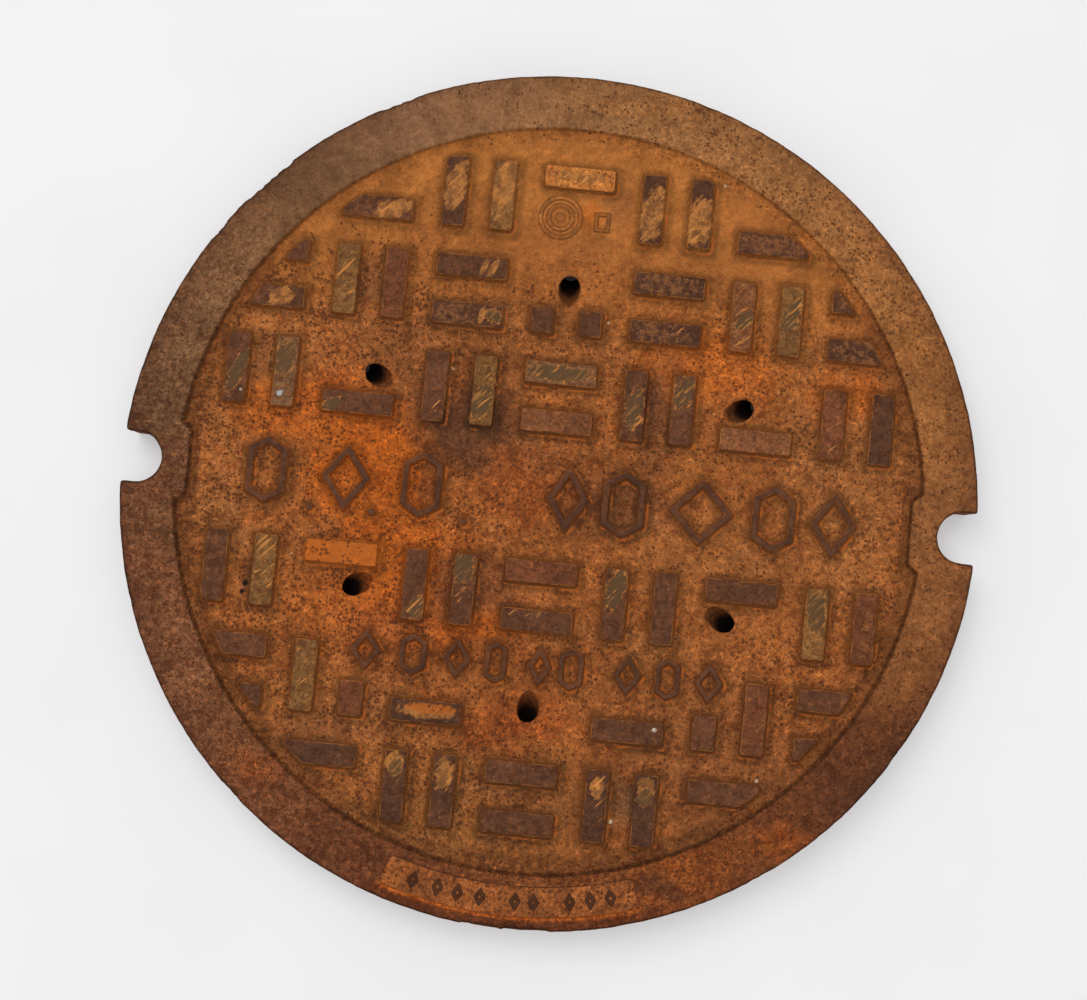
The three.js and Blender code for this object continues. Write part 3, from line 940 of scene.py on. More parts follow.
# ---- Where the rust differs ----
# Stains: middle x, y, half sizes, colour and strength.
FIELD_STAINS = (
    (0, 190, 260, 120, "golden", 0.25),
    (0, 262, 215, 50, "golden", 0.95),
    (-175, 195, 70, 60, "golden", 0.55),
    (175, 190, 70, 70, "golden", 0.30),
    (60, 215, 60, 40, "golden", 0.40),
    (-130, 118, 60, 26, "umber", 0.45),
    (-20, 125, 90, 30, "umber", 0.30),
    (-232, 105, 40, 60, "tan", 0.30),
    (-150, 60, 50, 40, "orange", 0.35),
    (-140, 8, 62, 48, "orange", 0.85),
    (-112, -62, 52, 44, "orange", 0.75),
    (-165, -95, 45, 35, "orange", 0.35),
    (-105, -120, 60, 40, "ember", 0.55),
    (-15, -120, 95, 34, "ember", 0.40),
    (0, -185, 44, 30, "ember", 0.60),
    (-35, -188, 60, 26, "ember", 0.35),
    (-130, -190, 50, 26, "umber", 0.35),
    (-72, 48, 46, 34, "purple", 0.90),
    (-55, 78, 40, 30, "purple", 0.45),
    (-22, 2, 52, 34, "ember", 0.55),
    (72, 62, 26, 44, "purple", 0.55),
    (62, 4, 24, 24, "purple", 0.60),
    (-98, 4, 14, 22, "deep_purple", 0.45),
    (-42, -80, 40, 26, "red_brown", 0.60),
    (37, 0, 26, 40, "red_brown", 0.45),
    (16, 225, 12, 14, "orange", 0.45),
    (118, 116, 62, 30, "orange", 0.50),
    (-205, 40, 44, 34, "orange", 0.55),
    (105, -20, 60, 40, "tan", 0.25),
    (120, -68, 90, 22, "tan", 0.15),
    (238, 30, 60, 110, "tan", 0.45),
    (236, 112, 30, 26, "orange", 0.55),
    (0, -108, 70, 12, "orange", 0.60),
    (-262, -10, 24, 90, "tan", 0.30),
    (-150, -195, 70, 60, "tan", 0.25),
    (140, -185, 90, 70, "umber", 0.45),
    (120, -250, 110, 40, "umber", 0.15),
    (-20, -235, 120, 30, "olive", 0.30),
    (-70, -272, 120, 24, "olive", 0.45),
    (82, 85, 14, 26, "purple", 0.75),
    (-82, -74, 13, 28, "red_brown", 0.70),
    (-155, 162, 16, 26, "umber", 0.80),
    (-122, 78, 28, 24, "umber", 0.60),
    (-14, 36, 26, 18, "red_brown", 0.45),
    (-238, 85, 13, 26, "umber", 0.60),
    (84, -240, 13, 26, "grey_brown", 0.70),
    (38, 238, 14, 24, "umber", 0.45),
    (-165, -208, 26, 14, "umber", 0.55),
    (88, 112, 24, 13, "umber", 0.45),
    (-62, -112, 28, 13, "orange", 0.45),
    (62, -113, 72, 13, "ochre", 0.55),
    (-50, -205, 32, 18, "tan", 0.30),
    (-188, -14, 24, 22, "orange", 0.50),
    (113, 37, 22, 18, "golden", 0.40),
    (-75, 138, 26, 12, "tan", 0.40),
    (185, 198, 50, 34, "golden", 0.40),
    (115, 212, 30, 20, "golden", 0.40),
    (213, 137, 26, 20, "tan", 0.30),
    (-75, 190, 36, 20, "golden", 0.40),
    (-150, -38, 36, 22, "orange", 0.45),
    (60, -113, 90, 16, "tan", 0.45),
    (-75, 137, 28, 13, "tan", 0.40),
    (-188, -14, 24, 22, "orange", 0.40),
    (-188, 60, 24, 18, "ember", 0.45),
    (-238, -85, 16, 28, "umber", 0.70),
    (213, 87, 22, 24, "umber", 0.30),
    (163, -38, 34, 18, "tan", 0.45),
    (-262, -38, 20, 26, "tan", 0.40),
    (188, 160, 44, 52, "golden", 0.25),
    (-205, 170, 34, 34, "golden", 0.25),
    (10, -238, 60, 16, "dusty", 0.35),
)
# The rim's colour round the circle: angle from +X, and colour.
RIM_TONES = (
    (0, (138, 88, 50)), (30, (152, 98, 52)), (60, (156, 105, 61)), (90, (142, 98, 60)),
    (112, (133, 94, 66)), (135, (108, 76, 50)), (152, (128, 90, 60)), (168, (99, 70, 47)),
    (195, (115, 72, 46)), (212, (118, 77, 50)), (227, (117, 73, 45)), (244, (101, 58, 34)),
    (262, (122, 70, 38)), (280, (126, 72, 36)), (292, (134, 73, 32)), (304, (124, 69, 33)),
    (316, (98, 57, 34)), (330, (103, 60, 33)), (345, (136, 85, 47)), (360, (138, 88, 50)),
)
RIM_STAINS = (
    (118, -298, 16, 12, "deep_purple", 0.7),
    (215, -262, 40, 22, "orange", 0.35),
    (-250, 205, 40, 24, "grey_brown", 0.4),
    (-215, -245, 30, 14, "ember", 0.4),
    (60, 322, 60, 10, "golden", 0.2),
)
SLOPE_COLOUR = (96, 58, 30)
SIDE_COLOUR = (106, 60, 32)
UNDER_COLOUR = (104, 62, 38)


def blotted(points, colour, stains, seed):
    """Lays stains with uneven edges over a colour."""
    x, y = points[:, 0], points[:, 1]
    layers = [(48, 13), (19, 7), (8, 3)]
    moved_x = x + fractal(x, y, seed, layers)
    moved_y = y + fractal(x, y, seed + 9, layers)
    colour = np.array(np.broadcast_to(colour, (len(x), 3)))
    for middle_x, middle_y, half_x, half_y, name, strength in stains:
        reach = np.hypot((moved_x - middle_x) / half_x, (moved_y - middle_y) / half_y)
        share = strength * (1 - smooth(reach, 0.35, 1.25))
        colour += (linear(RUST[name]) - colour) * share[:, None]
    return colour


def blend(a, b, share):
    return a + (b - a) * np.asarray(share)[:, None]


def ground_tone(points):
    """The field's own colour at a place, also for the foot of whatever stands there."""
    return blotted(points, linear(RUST["ochre"]), FIELD_STAINS, 81)


def slope_share(points):
    """How far the slope up to the rim is darkened: most at the lower left, least on top."""
    x, y = points[:, 0], points[:, 1]
    share = 0.12 + 0.55 * smooth(x - 0.5 * y, 60, 300) + 0.60 * smooth(-x - y, -40, 260)
    return np.clip(share - 0.25 * smooth(-y, 150, 290), 0, 0.75)


def shaded_ground(points):
    share = slope_share(points) * smooth(radius_of(points), 279, 291)
    return blend(ground_tone(points), linear(SLOPE_COLOUR), share)


def field_tone(points):
    return blend(under_tone(points), shaded_ground(points), smooth(points[:, 2], 20, 34))


def under_tone(points):
    drift = 0.5 + 0.5 * wander(points, 87, [(90, 0.6), (30, 0.4)])
    return blend(linear(UNDER_COLOUR), linear(RUST["ember"]), 0.6 * drift)


def rim_tone(points):
    angle = np.degrees(np.arctan2(points[:, 1], points[:, 0])) % 360
    angle = (angle + wander(points, 91, [(60, 6), (20, 3)])) % 360
    stops = [a for a, _ in RIM_TONES]
    colours = linear([c for _, c in RIM_TONES])
    colour = np.stack([np.interp(angle, stops, colours[:, k]) for k in range(3)], 1)
    colour = blotted(points, colour, RIM_STAINS, 94)
    radius = radius_of(points)
    x, y, z = points.T
    below_plaque = smooth(radius, 331, 334) * smooth(y, -290, -318) * (np.abs(x) < 118)
    colour = blend(colour, linear((96, 50, 26)), 0.85 * below_plaque)
    slope = (1 - smooth(z, RIM_TOP - 1.1, RIM_TOP - 0.3)) * (radius < 304)
    sloped = blend(ground_tone(points), linear(SLOPE_COLOUR), slope_share(points))
    colour = blend(colour, sloped, slope)
    outer = 0.40 * smooth(radius, 322, 342) * (0.4 + 0.6 * smooth(np.abs(x), 60, 250))
    colour = blend(colour, linear((84, 50, 36)), outer)
    angle = np.degrees(np.arctan2(x, -y))
    on_plaque = 1 - smooth(np.abs(angle), 17, 19)
    lip = smooth(radius, 330, 331.5) * (1 - smooth(radius, 333.5, 335.5)) * on_plaque
    colour = blend(colour, linear((188, 98, 36)), 0.85 * lip)
    strip = smooth(radius, 299, 301) * (1 - smooth(radius, 306, 308)) * on_plaque
    colour = blend(colour, linear((112, 66, 36)), 0.55 * strip)
    side = (1 - smooth(z, RIM_TOP - 3, RIM_TOP - 0.8)) * (radius > 303)
    return blend(colour, linear(SIDE_COLOUR), 0.8 * side)


def raised_outlines():
    """Outline of each raised feature of the field, and how far its foot stands outside it."""
    for bar in tread_bars():
        yield bar_outline(bar), 1.8
    for band in (MIDDLE_BAND, LOWER_BAND):
        for line in figure_lines(band):
            yield line, band["half_foot"]
    for x, y in PIP_PLACES:
        yield arc(PIP_RADIUS - 1, 0, 360, 12) + (x, y), 1.6


def distance_to_edges(polygon, places):
    best = np.full(len(places), 1e9)
    for a, b in zip(polygon, np.roll(polygon, -1, axis=0)):
        along = b - a
        share = np.clip((places - a) @ along / (along @ along), 0, 1)
        best = np.minimum(best, np.linalg.norm(places - a - share[:, None] * along, axis=1))
    return best


# Darker rust with painted shade round the foot of a raised feature: its width, and its shift
# to one side, which paints it as a shadow cast away from the light.
HALO_REACH = 9.0
HALO_SHADOW_SHIFT = (1.4, -1.2)


def nearness(points):
    """1 at the foot of a raised feature, falling evenly to 0 at HALO_REACH from it."""
    best = np.full(len(points), HALO_REACH)
    plan = points[:, :2]
    for outline, foot in raised_outlines():
        outline = outline + HALO_SHADOW_SHIFT
        margin = HALO_REACH + foot
        inside = (plan > outline.min(0) - margin) & (plan < outline.max(0) + margin)
        pick = np.flatnonzero(inside.all(1) & (points[:, 2] > FIELD_TOP - 3))
        gap = np.maximum(distance_to_edges(outline, plan[pick]) - foot, 0)
        best[pick] = np.minimum(best[pick], gap)
    return 1 - best / HALO_REACH


def field_grain(points):
    """The field is smoothest at its golden top."""
    return 1.15 - 0.65 * smooth(points[:, 1], 110, 230) + wander(points, 95, [(50, 0.15)])


def pit_density(points):
    """Rust pits crowd the left, the middle and the bottom, and the top has few."""
    x, y = points[:, 0], points[:, 1]
    drift = wander(points, 97, [(70, 0.25), (25, 0.15)])
    left = 0.35 * smooth(-x, -60, 180)
    return np.clip(0.60 + left + drift - 0.60 * smooth(y, 120, 230), 0.08, 1)


def at_angle(points, degrees, half_width):
    """1 along a direction from the middle, falling to 0 at half_width degrees from it."""
    angle = np.degrees(np.arctan2(points[:, 1], points[:, 0]))
    away = np.abs((angle - degrees + 180) % 360 - 180)
    return 1 - smooth(away, 0.4 * half_width, half_width)


def rim_pits(points):
    drift = wander(points, 99, [(60, 0.2), (20, 0.15)])
    crowded = 0.45 * at_angle(points, 60, 75) + 0.3 * at_angle(points, 320, 60)
    return np.clip(0.35 + crowded + drift - 0.3 * at_angle(points, 112, 30), 0, 1)


def rim_grain(points):
    """How strongly the rim is mottled: most at the lower left, least at the upper left."""
    coarse = 0.90 + 0.75 * at_angle(points, 225, 95) + 0.25 * at_angle(points, 300, 40)
    return coarse - 0.30 * at_angle(points, 115, 35)


def hole_shade(points):
    """How far down a vent hole a point is, from 0 at the face to 1 in its foot of painted shade."""
    in_wall = (radius_of(points) < FIELD_RADIUS - 2) & (points[:, 2] > FIELD_UNDERSIDE + 1)
    depth = FIELD_TOP - points[:, 2]
    return in_wall * (0.58 * smooth(depth, 0.5, 2.2) + 0.42 * smooth(depth, 7, 17))


def between(points, a, b, seed, layers):
    """Drifts unevenly between two colours."""
    return blend(a, b, np.clip(0.5 + wander(points, seed, layers), 0, 1))


def ridge_tone(points):
    """The purplish tops of the figures."""
    return between(points, linear((78, 50, 38)), linear((102, 64, 42)), 103, [(22, 0.4), (8, 0.3)])


def boss_tone(points):
    return between(points, ground_tone(points), linear((124, 78, 40)), 107, [(14, 0.5), (6, 0.4)])


def plaque_tone(points):
    return between(points, linear((166, 96, 48)), linear((136, 80, 42)), 109, [(26, 0.5), (9, 0.4)])


def plaque_ground(points):
    """Bright rust along the plaque's outer edge, and brown along its other edges."""
    outer = smooth(radius_of(points), 322, 330)
    return blend(linear((120, 70, 40)), linear((190, 100, 38)), outer)


def mark_tone(points):
    return np.broadcast_to(linear((78, 46, 28)), (len(points), 3))


# ---- Finish of each bar ----
# Cell column, row and side -> colour of its top, then patches of kind, offset from the
# bar's middle in x and y, half length, half width and slant in degrees. Other bars are PLAIN.
PLAIN = ("purple", ())
BAR_LOOKS = {
    (-1, 3, -1): ("deep_purple", (("gold", 0, 3, 20, 8, 80), ("scratched", 0, -8, 12, 8, 70))),
    (-1, 3, 1): ("olive", (("gold", 1, 8, 24, 9, 80), ("scratched", 2, -12, 16, 8, 60))),
    (0, 3, 1): ("golden", (("gold", 0, 1, 20, 5, 0),)),
    (1, 3, -1): ("deep_purple", (("gold", 0, -3, 21, 10, 80), ("scratched", 0, 2, 14, 8, 40))),
    (1, 3, 1): ("deep_purple", (("gold", 0, -6, 21, 10, 85), ("scratched", 0, -14, 14, 8, 45))),
    (-2, 3, -1): ("purple", (("gold", 12, 0, 15, 7, 20), ("scratched", 0, 0, 14, 7, 20))),
    (2, 3, -1): ("deep_purple", (("speckled", 0, 0, 28, 9, 0),)),
    (-3, 2, -1): ("purple", (("gold", 10, 0, 11, 7, 20),)),
    (-2, 2, -1): ("olive", (("scratched", 0, 0, 26, 8, 90),)),
    (-2, 2, 1): ("red_brown", ()),
    (-1, 2, 1): ("purple", (("gold", 17, 0, 9, 3, 70), ("gold", 10, 0, 8, 2.5, 70))),
    (-1, 2, -1): (
        "deep_purple",
        (("patina", 21, 0, 6, 7, 60), ("speckled", -8, 0, 20, 8, 0), ("gold", 12, 0, 8, 2.5, 80)),
    ),
    (1, 2, 1): ("deep_purple", (("speckled", 0, 0, 28, 9, 0),)),
    (1, 2, -1): ("deep_purple", (("speckled", -6, 0, 24, 9, 0), ("scratched", 18, 0, 12, 8, 0))),
    (2, 2, -1): ("umber", (("scratched", 0, 0, 26, 9, 90), ("patina", 3, -2, 10, 5, 50))),
    (2, 2, 1): ("olive", (("patina", 0, 4, 14, 6, 70), ("scratched", 0, 10, 12, 8, 90))),
    (3, 2, 1): ("deep_purple", (("speckled", 0, 0, 20, 9, 0),)),
    (3, 2, -1): ("deep_purple", (("speckled", 0, 0, 24, 9, 0),)),
    (-3, 1, -1): ("purple", (("patina", 1, -4, 18, 5, 70),)),
    (-3, 1, 1): ("grey_brown", (("patina", -1, 10, 14, 7, 85),)),
    (-2, 1, -1): ("purple", (("patina", -20, -3, 8, 4, 30), ("scratched", -12, -2, 14, 5, 0))),
    (-1, 1, -1): ("purple", (("scratched", 2, -20, 9, 7, 50),)),
    (-1, 1, 1): ("olive", (("patina", 0, -8, 16, 7, 70), ("scratched", 1, 2, 20, 8, 90))),
    (0, 1, 1): ("grey_brown", (("patina", 0, 0, 24, 6, 0), ("scratched", -12, 1, 12, 6, 0))),
    (0, 1, -1): ("umber", ()),
    (1, 1, -1): ("purple", (("patina", 1, -2, 16, 6, 80), ("scratched", 3, -14, 9, 6, 90))),
    (1, 1, 1): ("purple", (("patina", 0, 14, 12, 7, 80), ("scratched", 0, 8, 11, 6, 90))),
    (2, 1, -1): ("dusty", ()),
    (3, 1, -1): ("red_brown", (("scratched", 0, -6, 16, 6, 85),)),
    (3, 1, 1): ("deep_purple", ()),
    (-3, -1, 1): ("olive", (("scratched", 2, 8, 20, 8, 100),)),
    (-2, -1, 1): ("orange", (("bright", 0, 0, 34, 12, 0),)),
    (-1, -1, -1): ("purple", (("patina", 3, -18, 9, 6, 60), ("scratched", 0, -16, 9, 8, 60))),
    (-1, -1, 1): ("purple", (("patina", -1, 16, 12, 8, 90), ("scratched", 0, -4, 7, 8, 0))),
    (0, -1, 1): ("red_brown", ()),
    (0, -1, -1): ("purple", (("scratched", 0, 5, 26, 3, 0),)),
    (1, -1, -1): ("purple", (("patina", 0, 12, 15, 7, 75), ("scratched", -3, 2, 16, 4, 70))),
    (3, -1, -1): ("olive", (("patina", 0, 10, 16, 7, 90),)),
    (3, -1, 1): ("red_brown", (("speckled", 2, -4, 18, 4, 85),)),
    (-2, -2, -1): ("olive", (("scratched", 0, 0, 20, 7, 110),)),
    (-2, -2, 1): ("red_brown", ()),
    (-1, -2, -1): ("deep_purple", (("gold", 2, 0, 23, 5, 0), ("bright", 4, 3, 20, 4, 0))),
    (2, -2, 1): ("red_brown", (("scratched", 0, 4, 14, 7, 90),)),
    (-1, -3, -1): ("deep_purple", (("gold", -1, 18, 9, 8, 90), ("patina", 0, 15, 7, 5, 60))),
    (-1, -3, 1): ("deep_purple", (("gold", 0, 14, 13, 7, 90), ("scratched", 0, 14, 14, 8, 90))),
    (1, -3, -1): ("deep_purple", (("gold", 0, 14, 10, 5, 90), ("scratched", 0, 14, 12, 8, 90))),
    (1, -3, 1): ("deep_purple", (("gold", 0, 16, 10, 7, 90), ("patina", 0, 10, 7, 6, 60))),
    (-3, -2, -1): ("deep_purple", ()),
    (-2, -3, 1): ("deep_purple", ()),
}
PATCH_KINDS = ("gold", "patina", "scratched", "speckled", "bright")


def bar_of(points):
    """Index of the bar each point belongs to."""
    centres = np.array([bar[3:5] for bar in tread_bars()])
    gaps = np.hypot(*(points[:, None, :2] - centres[None]).transpose(2, 0, 1))
    return np.argmin(gaps, axis=1)


def bar_patches(points, kind):
    """1 in the middle of a patch of that kind and 0.5 at its edge."""
    owner = bar_of(points)
    field = np.zeros(len(points))
    for index, bar in enumerate(tread_bars()):
        column, row, side, x, y, *_ = bar
        _, patches = BAR_LOOKS.get((column, row, side), PLAIN)
        pick = np.flatnonzero(owner == index)
        for name, offset_x, offset_y, half_length, half_width, slant in patches:
            if name != kind:
                continue
            angle = math.radians(slant)
            dx = points[pick, 0] - x - offset_x
            dy = points[pick, 1] - y - offset_y
            u = dx * math.cos(angle) + dy * math.sin(angle)
            v = dy * math.cos(angle) - dx * math.sin(angle)
            reach = np.hypot(u / half_length, v / half_width)
            field[pick] = np.maximum(field[pick], np.clip(1.5 - reach, 0, 1))
    return field


def bar_tone(points):
    owner = bar_of(points)
    names = [BAR_LOOKS.get(bar[:3], PLAIN)[0] for bar in tread_bars()]
    shade = 1 + 0.10 * noise(np.arange(len(names)) * 5.3, 0.5, 1, 19)
    return (linear([RUST[name] for name in names]) * shade[:, None])[owner]


def bar_pits(points):
    """Rust pits in the bars: few, but many in the bright one."""
    return 0.30 + 0.7 * np.clip(bar_patches(points, "bright"), 0, 1)


# ---- Materials ----
# Every rust colour is used this much less blue than it is named.
WARMTH = (1.0, 0.98, 0.93)


class Graph:
    """A material's nodes. Texture sizes are in millimetres of the cover."""

    def __init__(self, name):
        self.material = bpy.data.materials.new(name)
        self.material.use_nodes = True
        self.tree = self.material.node_tree
        self.tree.nodes.clear()
        place = self.tree.nodes.new("ShaderNodeTexCoord")
        self.place = self.vector("SCALE", place.outputs["Object"], scale=1 / MM)

    def node(self, kind, inputs=(), **settings):
        made = self.tree.nodes.new("ShaderNode" + kind)
        for key, value in settings.items():
            setattr(made, key, value)
        for key, value in dict(inputs).items():
            self.feed(made.inputs[key], value)
        return made

    def feed(self, socket, value):
        if isinstance(value, bpy.types.NodeSocket):
            self.tree.links.new(value, socket)
        elif hasattr(socket.default_value, "__len__") and len(socket.default_value) == 4:
            socket.default_value = (*value, 1.0)
        else:
            socket.default_value = value

    def vector(self, operation, a, b=None, scale=None, output=0):
        inputs = {0: a}
        if b is not None:
            inputs[1] = b
        if scale is not None:
            inputs["Scale"] = scale
        return self.node("VectorMath", inputs, operation=operation).outputs[output]

    def math(self, operation, a, b=0.0, clamp=False):
        made = self.node("Math", {0: a, 1: b}, operation=operation, use_clamp=clamp)
        return made.outputs[0]

    def product(self, *factors):
        result = factors[0]
        for factor in factors[1:]:
            result = self.math("MULTIPLY", result, factor)
        return result

    def attribute(self, name, colour=False):
        made = self.node("Attribute", attribute_name=name)
        return made.outputs["Color" if colour else "Fac"]

    def noise(self, size, detail=2.0, roughness=0.5, warp=0.0, place=None, shift=0.0):
        place = self.place if place is None else place
        if shift:
            place = self.vector("ADD", place, (shift, shift * 1.7, shift * 0.6))
        inputs = {
            "Vector": place, "Scale": 1 / size, "Detail": detail,
            "Roughness": roughness, "Distortion": warp,
        }
        return self.node("TexNoise", inputs, noise_dimensions="3D").outputs[0]

    def drift(self, size, amount, shift=0.0, place=None):
        """Noise about 0, to make an edge uneven."""
        middle = self.math("SUBTRACT", self.noise(size, 4, 0.62, shift=shift, place=place), 0.5)
        return self.math("MULTIPLY", middle, amount)

    def stretched(self, slant, along, across):
        """Coordinates in which noise of size 1 makes streaks of `along` by `across` mm."""
        turned = self.node(
            "Mapping",
            {
                "Vector": self.place, "Rotation": (0, 0, math.radians(slant)),
                "Scale": (along, across, across),
            },
            vector_type="TEXTURE",
        )
        return turned.outputs[0]

    def spots(self, size, largest, density):
        """Ragged spots at random places: 1 inside a spot. `density` is the share of cells of
        `size` that hold one, and `largest` its radius as a share of the cell."""
        warp = self.node("TexNoise", {"Vector": self.place, "Scale": 2.2 / size, "Detail": 2.0})
        shift = self.vector("SUBTRACT", warp.outputs["Color"], (0.5, 0.5, 0.5))
        place = self.vector("ADD", self.place, self.vector("SCALE", shift, scale=size * 0.55))
        inputs = {"Vector": place, "Scale": 1 / size, "Randomness": 1.0}
        cell = self.node("TexVoronoi", inputs, feature="F1", voronoi_dimensions="3D")
        pick = self.node("SeparateColor", {0: cell.outputs["Color"]})
        wanted = self.math("SUBTRACT", density, pick.outputs[0])
        radius = self.math("MULTIPLY", self.math("MULTIPLY", wanted, 2.2, clamp=True), largest)
        gap = self.math("SUBTRACT", radius, cell.outputs["Distance"])
        return self.math("MULTIPLY", gap, 9.0, clamp=True)

    def step(self, value, low, high, to=(0.0, 1.0)):
        """Rises smoothly from the first to the second number of `to` between low and high."""
        inputs = {
            "Value": value, "From Min": low, "From Max": high, "To Min": to[0], "To Max": to[1],
        }
        made = self.node("MapRange", inputs, interpolation_type="SMOOTHSTEP")
        return made.outputs[0]

    def mix(self, share, a, b):
        made = self.node("Mix", data_type="RGBA")
        self.feed(made.inputs[0], share)
        self.feed(made.inputs[6], a)
        self.feed(made.inputs[7], b)
        return made.outputs[2]

    def dimmed(self, colour, factor):
        """A colour times a number."""
        return self.vector("SCALE", colour, scale=factor)

    def tinted(self, colour, tint):
        """A colour times another colour."""
        return self.vector("MULTIPLY", colour, tint)

    def finish(self, colour, roughness, height, depth, specular=0.12, glow=0.0):
        bump = self.node(
            "Bump", {"Height": height, "Strength": 1.0, "Distance": depth * MM}
        )
        shader = self.node(
            "BsdfPrincipled",
            {
                "Base Color": colour, "Roughness": roughness, "Specular IOR Level": specular,
                "Normal": bump.outputs[0],
            },
        )
        if glow:
            self.feed(shader.inputs["Emission Color"], colour)
            self.feed(shader.inputs["Emission Strength"], glow)
        end = self.node("OutputMaterial")
        self.tree.links.new(shader.outputs[0], end.inputs["Surface"])
        return self.material


# Place, radius and colour of each speck.
CHIPS = (
    (-223, 62, 2.8, (168, 170, 176)), (101, -176, 1.9, (190, 178, 160)),
    (186, -208, 1.6, (184, 170, 150)), (-200, -65, 1.2, (190, 176, 150)),
    (117, 266, 1.2, (190, 176, 150)), (34, 145, 1.3, (176, 156, 124)),
    (-87, 96, 1.5, (170, 156, 132)), (-254, 62, 1.3, (176, 160, 136)),
    (74, -251, 1.8, (190, 176, 150)), (-234, -92, 3.0, (30, 22, 18)),
    (-236, -99, 2.6, (30, 22, 18)),
)


class Rust(Graph):
    """A rusted face: a colour that layers are laid on, and the height for its bump."""

    def __init__(self, name):
        super().__init__(name)
        self.colour = self.attribute("tone", colour=True)
        self.grain = 1.0
        self.height = self.product(self.noise(1.4, 4, 0.65), 0.7)

    def lay(self, share, colour):
        self.colour = self.mix(share, self.colour, colour)

    def tint(self, share, tint):
        self.lay(share, self.tinted(self.colour, tint))

    def mottle(self):
        """Broad drifts, dark clots, tan dust, orange grains and dark dots."""
        broad = self.step(self.noise(30, 5, 0.70, warp=0.4, shift=11), 0.36, 0.64, to=(0.80, 1.16))
        self.colour = self.dimmed(self.colour, broad)
        clots = self.step(self.noise(7.0, 5, 0.76, warp=0.5), 0.48, 0.59)
        dust = self.step(self.noise(4.6, 5, 0.78, shift=31), 0.50, 0.61)
        grains = self.step(self.noise(3.2, 3, 0.75, shift=57), 0.53, 0.63)
        dots = self.step(self.noise(2.1, 2, 0.70, shift=71), 0.555, 0.64)
        self.tint(self.product(clots, self.grain, 0.75), (0.60, 0.51, 0.48))
        self.tint(self.product(dust, self.grain, 0.80), (1.48, 1.56, 1.75))
        self.tint(self.product(grains, self.grain, 0.75), (1.62, 1.40, 1.12))
        self.lay(self.product(dots, self.grain, 0.66), paint((80, 45, 26)))
        self.raise_by(dust, 0.15)
        self.raise_by(clots, -0.12)
        self.dust = dust

    def raise_by(self, mask, amount):
        self.height = self.math("ADD", self.height, self.product(mask, amount))

    def pit(self, density, largest=0.34):
        """Dark brown rust pits in two sizes."""
        crowded = self.step(self.noise(20, 3, 0.6, shift=63), 0.38, 0.62, to=(0.25, 1.25))
        density = self.product(density, crowded)
        small = self.spots(3.0, largest * 1.45, self.product(density, 0.90))
        large = self.spots(6.4, largest, self.product(density, 0.60))
        pits = self.math("MAXIMUM", small, large)
        self.lay(self.product(pits, 0.72), paint((76, 41, 22)))
        self.raise_by(pits, -0.8)

    def chip(self):
        """The few places where pale specks lie on the rust, and one black one."""
        flat = self.tinted(self.place, (1, 1, 0))
        uneven = self.drift(1.6, 6.0, shift=29)
        for x, y, radius, colour in CHIPS:
            gap = self.vector("DISTANCE", flat, (x, y, 0), output="Value")
            gap = self.math("ADD", gap, uneven)
            self.lay(self.step(gap, radius, radius * 0.5), paint(colour))

    def done(self, depth, rough=(0.84, 0.93)):
        """Closes the material. `depth` is its relief in mm, `rough` its range of roughness."""
        colour = self.tinted(self.colour, WARMTH)
        return self.finish(colour, self.step(self.dust, 0, 1, to=rough), self.height, depth)


def field_material():
    """Mottled rust, darker round raised features (rust and painted shade), painted black down the
    vents.
    """
    rust = Rust("rusted_field")
    rust.grain = rust.attribute("grain")
    rust.mottle()
    # Darker rust with painted shade round the foot of raised features, shifted as a painted shadow.
    near = rust.math("ADD", rust.attribute("near"), rust.drift(5.0, 0.50))
    rust.tint(rust.step(near, 0.20, 0.78, to=(0, 0.85)), (0.58, 0.61, 0.60))
    brink = rust.step(near, 0.84, 0.96)
    patchy = rust.step(rust.noise(13, 2, shift=5), 0.45, 0.60)
    rust.lay(rust.product(brink, patchy, 0.7), paint((176, 92, 34)))
    rust.pit(rust.attribute("pitted"))
    rust.chip()
    # Painted shade: the vent walls darken with depth, to black at their foot.
    vent_painted_shade = rust.step(rust.attribute("shade"), 0, 1, to=(1.0, 0.04))
    rust.colour = rust.dimmed(rust.colour, vent_painted_shade)
    return rust.done(0.4)


def rim_material():
    """Mottled rust with streaks at the lower right and a dark line along both edges."""
    rust = Rust("rusted_rim")
    rust.grain = rust.attribute("grain")
    rust.mottle()
    rust.pit(rust.attribute("pitted"), 0.30)
    streaks = rust.step(rust.noise(1.0, 3, 0.6, place=rust.stretched(28, 9, 1.8)), 0.56, 0.66)
    rust.tint(rust.product(streaks, rust.attribute("streaked"), 0.7), (0.60, 0.54, 0.52))
    line = rust.math("ADD", rust.attribute("line"), rust.drift(4.0, 0.5))
    rust.tint(rust.step(line, 0.15, 0.80, to=(0, 0.90)), (0.42, 0.40, 0.35))
    rust.chip()
    return rust.done(0.35)


def raised_face(name, grain, top_edge=0.42):
    """A raised piece's own tone on top, and the ground's, darkened, down its sides. `top_edge`
    is the skirt value at which one gives way to the other."""
    rust = Rust(name)
    rust.grain = grain
    rust.mottle()
    top = rust.colour
    ground = rust.dimmed(rust.attribute("ground", colour=True), 0.70)
    dust = rust.step(rust.noise(2.4, 4, 0.7, shift=83), 0.50, 0.64, to=(0.75, 1.40))
    skirt = rust.attribute("skirt")
    edge = rust.math("ADD", skirt, rust.drift(3.0, 0.55, shift=17))
    side = rust.step(edge, top_edge - 0.16, top_edge + 0.16)
    rust.colour = rust.mix(side, top, rust.dimmed(ground, dust))
    return rust, skirt


def mark_material():
    rust, _ = raised_face("rusted_marks", 0.3, top_edge=1.2)
    return rust.done(0.3)


